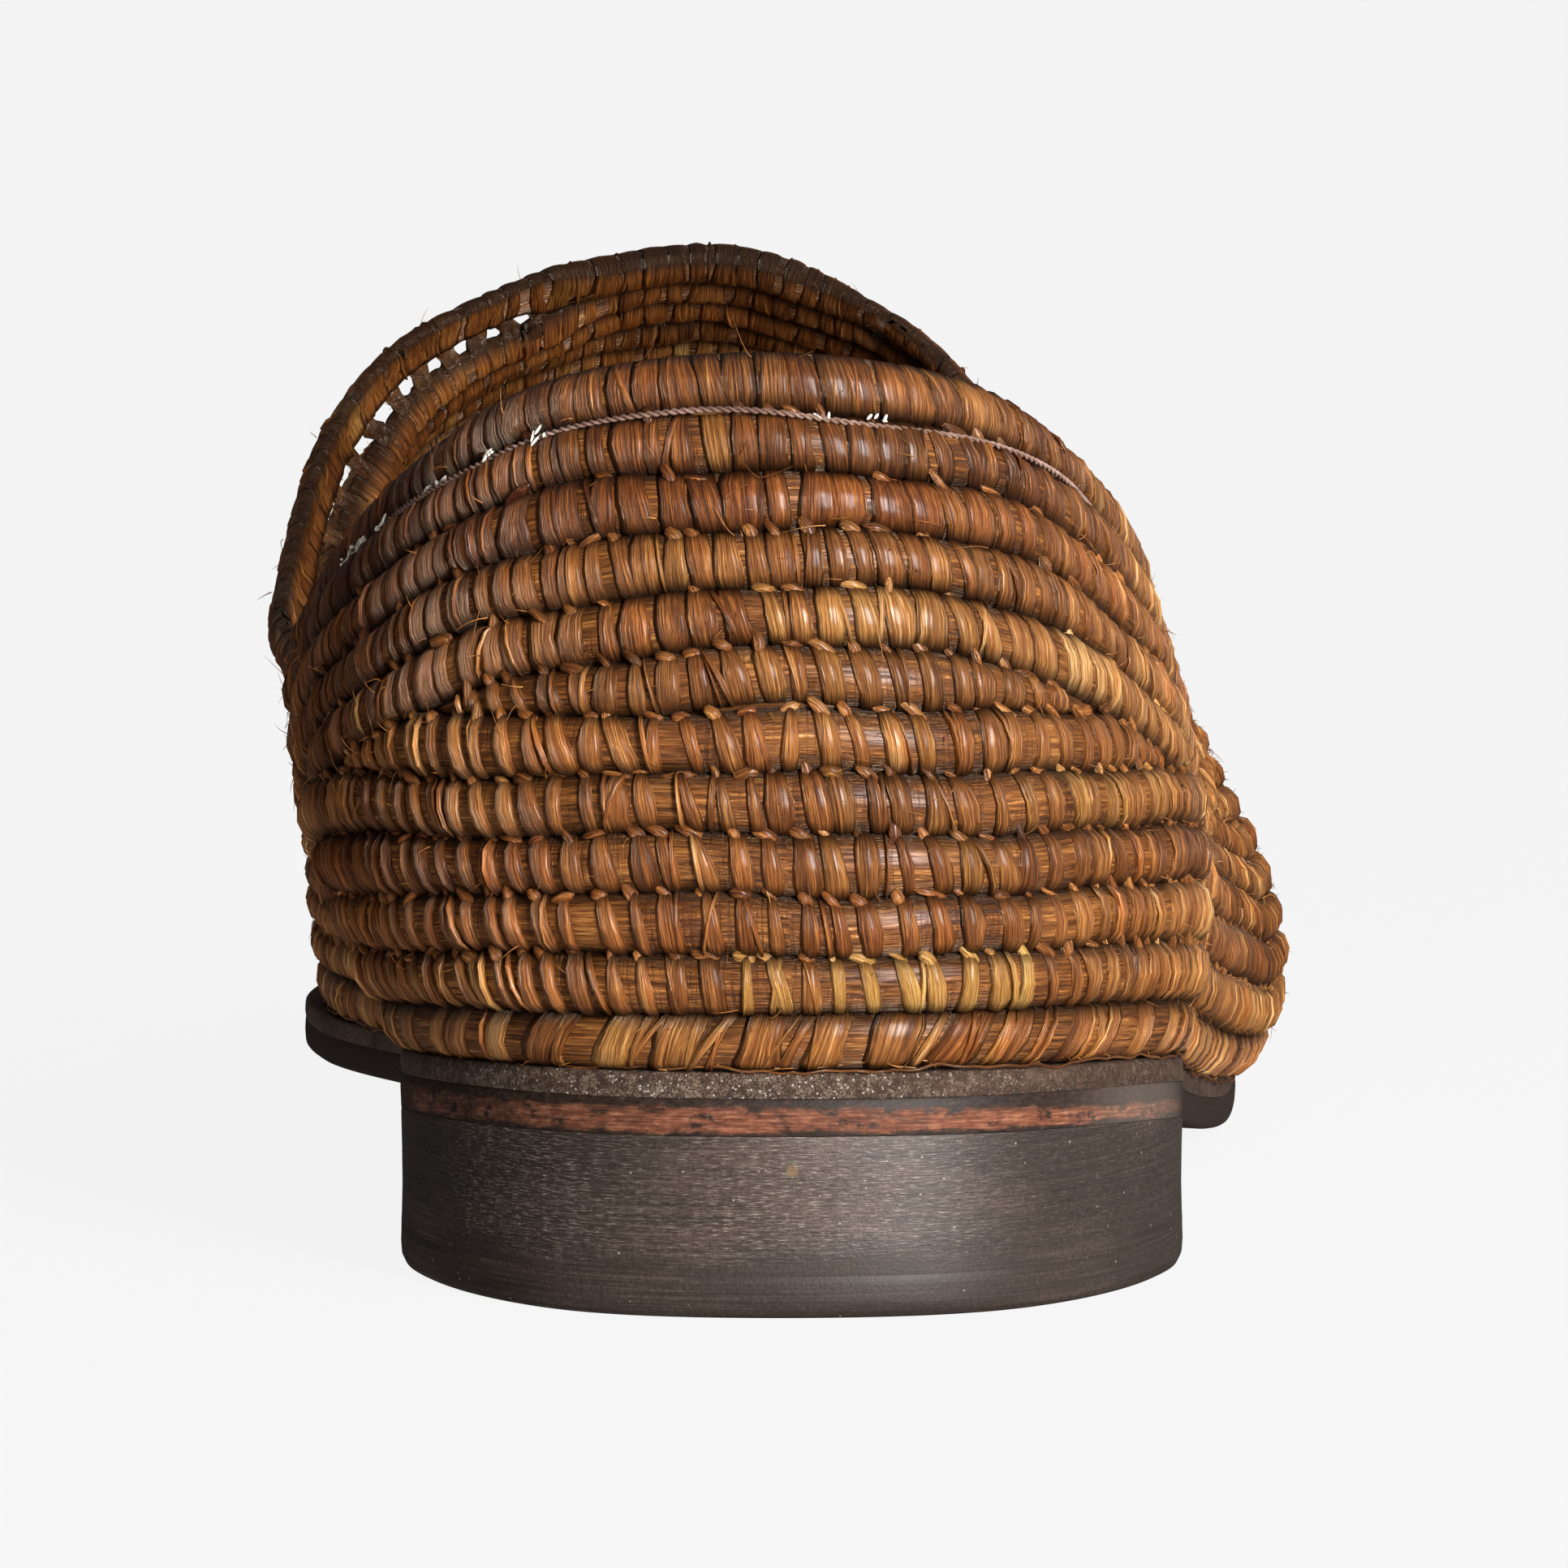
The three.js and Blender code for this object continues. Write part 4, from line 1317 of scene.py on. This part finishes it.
def layer_mesh(name, rings):
    """A closed layer from rings that go down its edge, with its UV map. Its lower face has material 1."""
    run = run_along(rings[0])
    lower_edge = rings[-1][:, 2] * MM
    length = np.abs(np.diff(run)).max()
    bm = bmesh.new()
    number = bm.verts.layers.int.new("number")
    ring = bmesh.ops.create_circle(bm, segments=len(run), radius=1.0)["verts"]
    for index, vertex in enumerate(ring):
        vertex[number] = index
    edges = bm.edges[:]
    first_ring = ring
    for step, places in enumerate((rings - ORIGIN_ON_LAST) * MM):
        if step > 0:
            made = bmesh.ops.extrude_edge_only(bm, edges=edges)["geom"]
            ring = sorted((v for v in made if isinstance(v, bmesh.types.BMVert)), key=lambda v: v[number])
            fresh = set(ring)
            edges = [e for e in made if isinstance(e, bmesh.types.BMEdge) and fresh.issuperset(e.verts)]
        for vertex in ring:
            vertex.co = places[vertex[number]]
    upper_end = close_end(bm, list(first_ring))
    lower_end = close_end(bm, list(ring))
    bmesh.ops.recalc_face_normals(bm, faces=bm.faces[:])
    for face in lower_end:
        face.material_index = 1
    flat = set(upper_end) | set(lower_end)
    edge_map = bm.loops.layers.uv.new("edge")
    for face in bm.faces:
        runs = [run[loop.vert[number]] for loop in face.loops]
        crosses_toe = max(runs) - min(runs) > length / 2
        for loop, value in zip(face.loops, runs):
            if face in flat:
                loop[edge_map].uv = loop.vert.co.xy
            else:
                rise = loop.vert.co.z - lower_edge[loop.vert[number]]
                loop[edge_map].uv = (value + length if crosses_toe and value < 0 else value, rise)
    mesh = bpy.data.meshes.new(name)
    bm.to_mesh(mesh)
    bm.free()
    return mesh


SOLE_POINTS = 280
sole_places = np.arange(SOLE_POINTS) * LOOP / SOLE_POINTS
print("points round a sole layer:", SOLE_POINTS)

# %% [markdown]
# ## Finishes of the sole
# The midsole's edge is dull grey-brown, rough-cut, and full of dust whose glints are painted in as pale
# flecks. The outsole was dyed nearly black, and round the heel the dye has rubbed off to copper-red leather
# with ragged borders; a pale sheen at its outer corner is painted in. The heel is polished and scratched
# along its length, with a painted sheen and painted glints down its middle, and grows plain and matt towards
# the floor.

# %% Dusty midsole


def midsole_finish():
    """Grey-brown cut leather, with clumps of glittering dust at the back of the heel; the glints are painted
    as pale flecks.
    """
    material, pen = open_finish("dusty midsole edge")
    place = pen.own_place()
    edge = pen.uv("edge")
    run, _, _ = edge.separate()
    grain = place.noise(7400.0, 2.0, 0.7)
    stain = place.noise(130.0, 3.0)
    layers = edge.stretched(30, 900, 1).noise(1.0, 3.0)
    # Where the dust lies thickest and its glints are painted, round the back of the heel.
    dusty_and_glinting = 0.25 + run.between(-0.034, -0.016) * (1 - run.between(0.002, 0.022)) * 0.75
    clumps = place.noise(1500.0, 4.0, 0.7)
    # Painted glints: pale flecks stand in for light glittering off the dust.
    painted_glints = 1 - place.flecks(2400.0).between(0.1, 0.26)
    dust = (grain * 0.5 + clumps * 0.5).between(0.48, 0.62) * dusty_and_glinting
    level = grain * 0.35 + clumps * 0.35 + stain * 0.25 + layers * 0.2
    colour = level.ramp((0.34, paint(22, 14, 9)), (0.55, paint(58, 40, 28)), (0.78, paint(98, 72, 54)))
    colour = colour.mix(dust * 0.45, paint(148, 130, 114))
    colour = colour.mix(painted_glints * dusty_and_glinting * 0.5, paint(214, 208, 200))
    roughness = 0.7 - dust * 0.3
    close_finish(pen, colour, roughness, grain * 0.7 + layers * 0.5, 0.00025, 0.8, specular_ior_level=0.3)
    return material


def inner_leather_finish(name, dark, middle, pale):
    """Plain vegetable-tanned leather: pores, creases and darker wear."""
    material, pen = open_finish(name)
    place = pen.own_place()
    wear = place.noise(28.0, 4.0)
    pores = place.flecks(1100.0)
    fibre = place.stretched(1, 0.35, 1).noise(420.0, 4.0)
    level = wear * 0.7 + fibre * 0.4 - (1 - pores.between(0.0, 0.45)) * 0.12
    colour = level.ramp((0.3, dark), (0.55, middle), (0.8, pale))
    close_finish(pen, colour, 0.5 + (fibre - 0.5) * 0.3, pores * 0.6 + fibre * 0.5, 0.00012, 0.5)
    return material


TREAD_BROWNS = [paint(52, 36, 26), paint(98, 68, 46), paint(132, 98, 70)]
INSOLE_TANS = [paint(98, 62, 36), paint(150, 104, 64), paint(184, 138, 92)]
tread_material = inner_leather_finish("tread leather", *TREAD_BROWNS)
insole_material = inner_leather_finish("insole leather", *INSOLE_TANS)
midsole_material = midsole_finish()
print("sole finishes:", midsole_material.name, tread_material.name, insole_material.name)

# %% Worn outsole edge


def outsole_finish():
    """Dark dyed edge, worn to copper round the heel, with a painted pale sheen at its outer corner."""
    material, pen = open_finish("worn outsole edge")
    place = pen.own_place()
    edge = pen.uv("edge")
    run, height, _ = edge.separate()
    ragged = edge.stretched(260, 500, 1).noise(1.0, 4.0, 0.65)
    specks = edge.stretched(1500, 2600, 1).noise(1.0, 3.0, 0.65)
    slow = edge.stretched(70, 60, 1).noise(1.0, 2.0)
    round_heel = (1 - run.between(0.03, 0.046)) * (0.6 + run.between(-0.04, 0.004) * 0.4)
    lower_border = (height + (ragged - 0.5) * 0.0014).between(0.00025, 0.0006)
    thinning = run.between(0.002, 0.034) * 0.0008
    upper_border = 1 - (height + (ragged - 0.5) * 0.0014 + thinning).between(0.0019, 0.0024)
    rubbed = (slow * 0.6 + ragged * 0.6 + run * 3.0).between(0.36, 0.6) * run.between(-0.052, -0.03)
    flakes = edge.stretched(420, 700, 1).noise(1.0, 3.0, 0.7).between(0.35, 0.5)
    copper = round_heel * lower_border * upper_border * rubbed * flakes
    dark = specks.ramp((0.3, paint(26, 18, 14)), (0.6, paint(48, 35, 28)), (0.8, paint(84, 64, 52)))
    streaks = edge.stretched(360, 5200, 1).noise(1.0, 3.0, 0.6)
    worn = streaks * 0.65 + specks * 0.35
    bright = worn.ramp((0.3, paint(54, 28, 19)), (0.5, paint(106, 60, 40)), (0.7, paint(158, 106, 80)))
    # Painted sheen: a pale band at the outer corner stands in for light reflected off the edge.
    painted_corner_sheen = run.between(0.018, 0.032) * (1 - run.between(0.034, 0.046)) * (0.4 + slow * 0.6)
    colour = dark.mix(copper, bright).mix(painted_corner_sheen * 0.35, paint(140, 128, 118))
    roughness = 0.5 + copper * 0.15 + (specks - 0.5) * 0.25 - painted_corner_sheen * 0.2
    close_finish(pen, colour, roughness, ragged * 0.6 + specks * 0.5, 0.00018, 0.6, specular_ior_level=0.2)
    return material


outsole_material = outsole_finish()
print("outsole finish:", outsole_material.name)

# %% Polished heel
NAIL_MARKS = [(0.0, 0.0109, 0.00048, paint(116, 88, 56)), (0.0037, 0.0039, 0.00042, paint(58, 42, 26))]


def heel_finish():
    """Nearly black dye with brush marks in two bands, a painted sheen and painted glints in the middle one,
    plain near the floor, and two nail marks.
    """
    material, pen = open_finish("polished heel")
    place = pen.own_place()
    edge = pen.uv("edge")
    run, _, _ = edge.separate()
    _, _, height = place.separate()
    dashes = edge.stretched(1000, 12000, 1).noise(1.0, 3.0, 0.65)
    long_marks = edge.stretched(70, 4600, 1).noise(1.0, 3.0, 0.6)
    patches = edge.stretched(70, 150, 1).noise(1.0, 3.0)
    grain = place.noise(3200.0, 3.0, 0.7)
    specks = place.flecks(700.0)
    middle = run.between(-0.014, -0.001) * (1 - run.between(0.006, 0.019))
    left = run.between(-0.032, -0.024) * (1 - run.between(-0.018, -0.008))
    above_floor = (height + (patches - 0.5) * 0.004).between(0.0028, 0.0062)
    # Brush marks, more of them in a band on the inner side, and brightened into painted glints in the middle
    # band.
    marks = dashes.between(0.52, 0.72) * (0.12 + middle * 0.5 + left * 0.45) * above_floor
    # Painted sheen: a pale band down the middle of the heel stands in for the reflection of the light.
    sheen = middle * (0.4 + patches * 0.6) * above_floor
    level = patches * 0.3 + long_marks * 0.4 + grain * 0.3 + sheen * 0.14
    colour = level.ramp((0.3, paint(30, 22, 18)), (0.52, paint(52, 42, 36)), (0.8, paint(98, 82, 73)))
    colour = colour.mix(marks, paint(176, 160, 148))
    colour = colour.mix((1 - specks.between(0.03, 0.08)) * 0.5, paint(180, 168, 156))
    for mark_run, mark_height, radius, stain in NAIL_MARKS:
        across = run - mark_run
        up = height - mark_height
        away = (across * across + up * up).power(0.5)
        nail = 1 - (away + (grain - 0.5) * 0.0006).between(radius * 0.5, radius * 1.2)
        colour = colour.mix(nail * 0.7, stain)
    roughness = 0.5 - sheen * 0.16 + (grain - 0.5) * 0.25
    relief = dashes * above_floor * 0.5 + grain * 0.6 + long_marks * 0.3
    close_finish(pen, colour, roughness, relief, 0.00012, 0.55, specular_ior_level=0.3)
    return material


heel_material = heel_finish()
print("heel finish:", heel_material.name)

# %% Midsole, outsole and insole
CLOSE_FIT = 0.28
SHARP_ANGLE = math.radians(38)
ROUND_STEPS = 5
MIDSOLE_ROUND = 0.45
HEEL_BREAST = 61
BREAST_FADE = 6
INSOLE_INSIDE = 2.6


def keep_layer(name, rings, materials, node):
    """Makes a piece of a layer's rings. Its lower face takes the last material."""
    mesh = layer_mesh(name, np.array(rings))
    keep_piece(mesh, name, materials[0], [node])
    mesh.materials.append(materials[-1])
    mesh.set_sharp_from_angle(angle=SHARP_ANGLE)


def edge_rings(place, profile):
    """Rings along the sole's edge from pairs: a shift outwards, and a height or a function of the plan."""
    made = []
    for shift, height in profile:
        over_plan = height if callable(height) else lambda plan, flat=height: np.full(len(plan), flat)
        made.append(edge_ring(place, shift, over_plan))
    return made


def rounded(height, sign, radius):
    """Pairs over a quarter round: from the flat face to the edge, or back when sign is negative."""
    turns = np.linspace(0, math.pi / 2, ROUND_STEPS)
    made = []
    for turn in turns if sign > 0 else turns[::-1]:
        inward = radius * (1 - math.sin(turn))
        drop = radius * (1 - math.cos(turn)) * sign
        made.append((-inward, raised(height, -drop)))
    return made


before_heel = np.clip((foot_plan(sole_places)[:, 1] - HEEL_BREAST) / BREAST_FADE, 0, 1)
lower_round = 0.06 + 0.64 * before_heel

outsole_rings = edge_rings(sole_places, [
    (-3.0, raised(outsole_top, CLOSE_FIT)),
    (-0.12, raised(outsole_top, CLOSE_FIT)),
    (0.0, raised(outsole_top, 0.1)),
    (0.06, raised(underside, 1.6)),
    *rounded(underside, -1, lower_round),
    (-4.0, underside),
])
keep_layer("outsole_leather", outsole_rings, [outsole_material, tread_material], "outsole")

midsole_rings = edge_rings(sole_places, [
    (-3.0, raised(midsole_top, 0.05)),
    *rounded(midsole_top, 1, MIDSOLE_ROUND),
    (0.05, raised(midsole_under, 0.7)),
    (-0.05, midsole_under),
    (-3.0, midsole_under),
])
keep_layer("midsole_edge", midsole_rings, [midsole_material], "midsole")

insole_rings = [
    foot_ring(sole_places, INSOLE_INSIDE + 3.0, insole_top),
    foot_ring(sole_places, INSOLE_INSIDE + 0.5, insole_top),
    foot_ring(sole_places, INSOLE_INSIDE + 0.1, raised(insole_top, -0.3)),
    foot_ring(sole_places, INSOLE_INSIDE, insole_under),
    foot_ring(sole_places, INSOLE_INSIDE + 3.0, insole_under),
]
keep_layer("insole_board", insole_rings, [insole_material], "insole")

# %% [markdown]
# ## The heel
# The heel follows the sole's edge round the back and is cut straight across at its front, the breast. The
# stack is a touch narrower between its ends, and the lift swells out past it a little, as a pressed layer
# does.

# %% Build the heel
LIFT_THICKNESS = 3.2
LIFT_PROUD = 0.05
HEEL_SIDE_POINTS = 70

walk = np.linspace(0, 6, 6001)
outer_end = walk[np.argmax(foot_plan(walk)[:, 1] >= HEEL_BREAST)]
inner_end = -walk[np.argmax(foot_plan(-walk)[:, 1] >= HEEL_BREAST)]
shares = np.arange(HEEL_SIDE_POINTS + 1) / HEEL_SIDE_POINTS
heel_places = np.concatenate([outer_end * shares, inner_end * shares[:0:-1]])

stack_rings = edge_rings(heel_places, [
    (-2.5, raised(underside, -0.02)),
    (-0.03, raised(underside, -0.02)),
    (0.0, raised(underside, -0.3)),
    (-0.05, 9.0),
    (-0.08, 6.0),
    (-0.02, LIFT_THICKNESS + 0.5),
    (0.0, LIFT_THICKNESS + 0.06),
    (0.0, LIFT_THICKNESS + 0.01),
    (-2.5, LIFT_THICKNESS + 0.01),
])
keep_layer("heel_block", stack_rings, [heel_material], "heel_stack")

lift_rings = edge_rings(heel_places, [
    (-2.5, LIFT_THICKNESS),
    (-0.02, LIFT_THICKNESS),
    (0.01, LIFT_THICKNESS - 0.04),
    (LIFT_PROUD - 0.03, 2.4),
    (LIFT_PROUD, 1.5),
    (LIFT_PROUD - 0.06, 0.7),
    (LIFT_PROUD - 0.3, 0.2),
    (LIFT_PROUD - 0.7, 0.0),
    (-3.0, 0.0),
])
keep_layer("heel_lift_rubber", lift_rings, [heel_material], "heel_lift")

# %% [markdown]
# ## Floor, backdrop and light
# The picture has a plain pale ground and soft light from the right. A sheet of paper that curves up behind
# the shoe hides the horizon. It glows by itself, less to the left, and is kept out of reflections. A tall
# narrow lamp behind the camera on the right gives the strips their sheen, a wide weak one hangs above, and a
# dim sky, brighter on the right, fills the rest.

# %% Stage
SWEEP_NEAR = -3.0
SWEEP_FAR = 1.6
SWEEP_ROUND = 0.8
SWEEP_TOP = 3.2
SWEEP_SIDE = 3.5
SWEEP_GLOW = 0.885
GLOW_LEFT = 0.42
VIEW_SLANT = 0.0914

sweep = bmesh.new()
near_end = sweep.verts.new((-SWEEP_SIDE, SWEEP_NEAR, 0.0))
corner = sweep.verts.new((-SWEEP_SIDE, SWEEP_FAR, 0.0))
sweep.edges.new((near_end, corner))
turned = bmesh.ops.spin(
    sweep,
    geom=[corner],
    cent=(-SWEEP_SIDE, SWEEP_FAR, SWEEP_ROUND),
    axis=(1, 0, 0),
    dvec=(0, 0, 0),
    angle=math.radians(90),
    steps=16,
    use_merge=False,
)
tip = [v for v in turned["geom_last"] if isinstance(v, bmesh.types.BMVert)][0]
top_end = sweep.verts.new((-SWEEP_SIDE, tip.co.y, SWEEP_TOP))
sweep.edges.new((tip, top_end))
wide = bmesh.ops.extrude_edge_only(sweep, edges=sweep.edges[:])["geom"]
far_side = [v for v in wide if isinstance(v, bmesh.types.BMVert)]
bmesh.ops.translate(sweep, verts=far_side, vec=(2 * SWEEP_SIDE, 0, 0))
bmesh.ops.recalc_face_normals(sweep, faces=sweep.faces[:])
sweep_mesh = bpy.data.meshes.new("pale_sweep")
sweep.to_mesh(sweep_mesh)
sweep.free()
sweep_mesh.polygons.foreach_set("use_smooth", np.ones(len(sweep_mesh.polygons), bool))
pale_sweep = bpy.data.objects.new("pale_sweep", sweep_mesh)
bpy.context.scene.collection.objects.link(pale_sweep)


def sweep_finish():
    """Pale paper that glows, and less so to the left of the shoe."""
    material, pen = open_finish("pale paper")
    place = pen.own_place()
    cloud = place.noise(3.0, 2.0)
    x, y, _ = place.separate()
    left_of_view = (0 - x - y * VIEW_SLANT).between(0.075, 0.4)
    light = left_of_view.ramp((0.0, (1.0, 1.0, 1.0, 1.0)), (1.0, (GLOW_LEFT, GLOW_LEFT, GLOW_LEFT, 1.0)))
    colour = cloud.ramp((0.3, paint(54, 54, 54)), (0.7, paint(58, 58, 58)))
    glow = {"emission_color": light, "emission_strength": SWEEP_GLOW}
    close_finish(pen, colour, 0.9 + cloud * 0.05, specular_ior_level=0.0, **glow)
    return material


sweep_mesh.materials.append(sweep_finish())
pale_sweep.visible_glossy = False
print("sweep:", len(sweep_mesh.polygons), "faces")

# %% Light
world = bpy.data.worlds.new("soft sky")
world.use_nodes = True
world.node_tree.nodes.clear()
sky = Wire(world.node_tree)
side, _, _ = sky.add("ShaderNodeTexCoord", {}, {}, "Generated").separate()
brightness = side.ramp((0.0, paint(52, 52, 52)), (0.7, paint(96, 96, 96)), (1.0, paint(198, 198, 198)))
background = sky.add("ShaderNodeBackground", {}, {"Color": brightness, "Strength": 1.0})
sky.add("ShaderNodeOutputWorld", {}, {"Surface": background})
bpy.context.scene.world = world
bpy.context.scene.view_settings.view_transform = "Standard"

LAMPS = [
    ("key", (0.43, -0.88, 0.26), (0.22, 0.7), 20.0),
    ("top", (0.4, -0.05, 1.3), (2.2, 2.2), 3.4),
]
SHOE_MIDDLE = (0.0, -0.05, 0.04)
for name, place, size, power in LAMPS:
    lamp_data = bpy.data.lights.new(name, "AREA")
    lamp_data.shape = "RECTANGLE"
    lamp_data.size, lamp_data.size_y = size
    lamp_data.energy = power
    lamp = bpy.data.objects.new(name, lamp_data)
    lamp.location = place
    aim = Vector(SHOE_MIDDLE) - lamp.location
    lamp.rotation_euler = aim.to_track_quat("-Z", "Y").to_euler()
    bpy.context.scene.collection.objects.link(lamp)
print("lamps:", len(LAMPS))
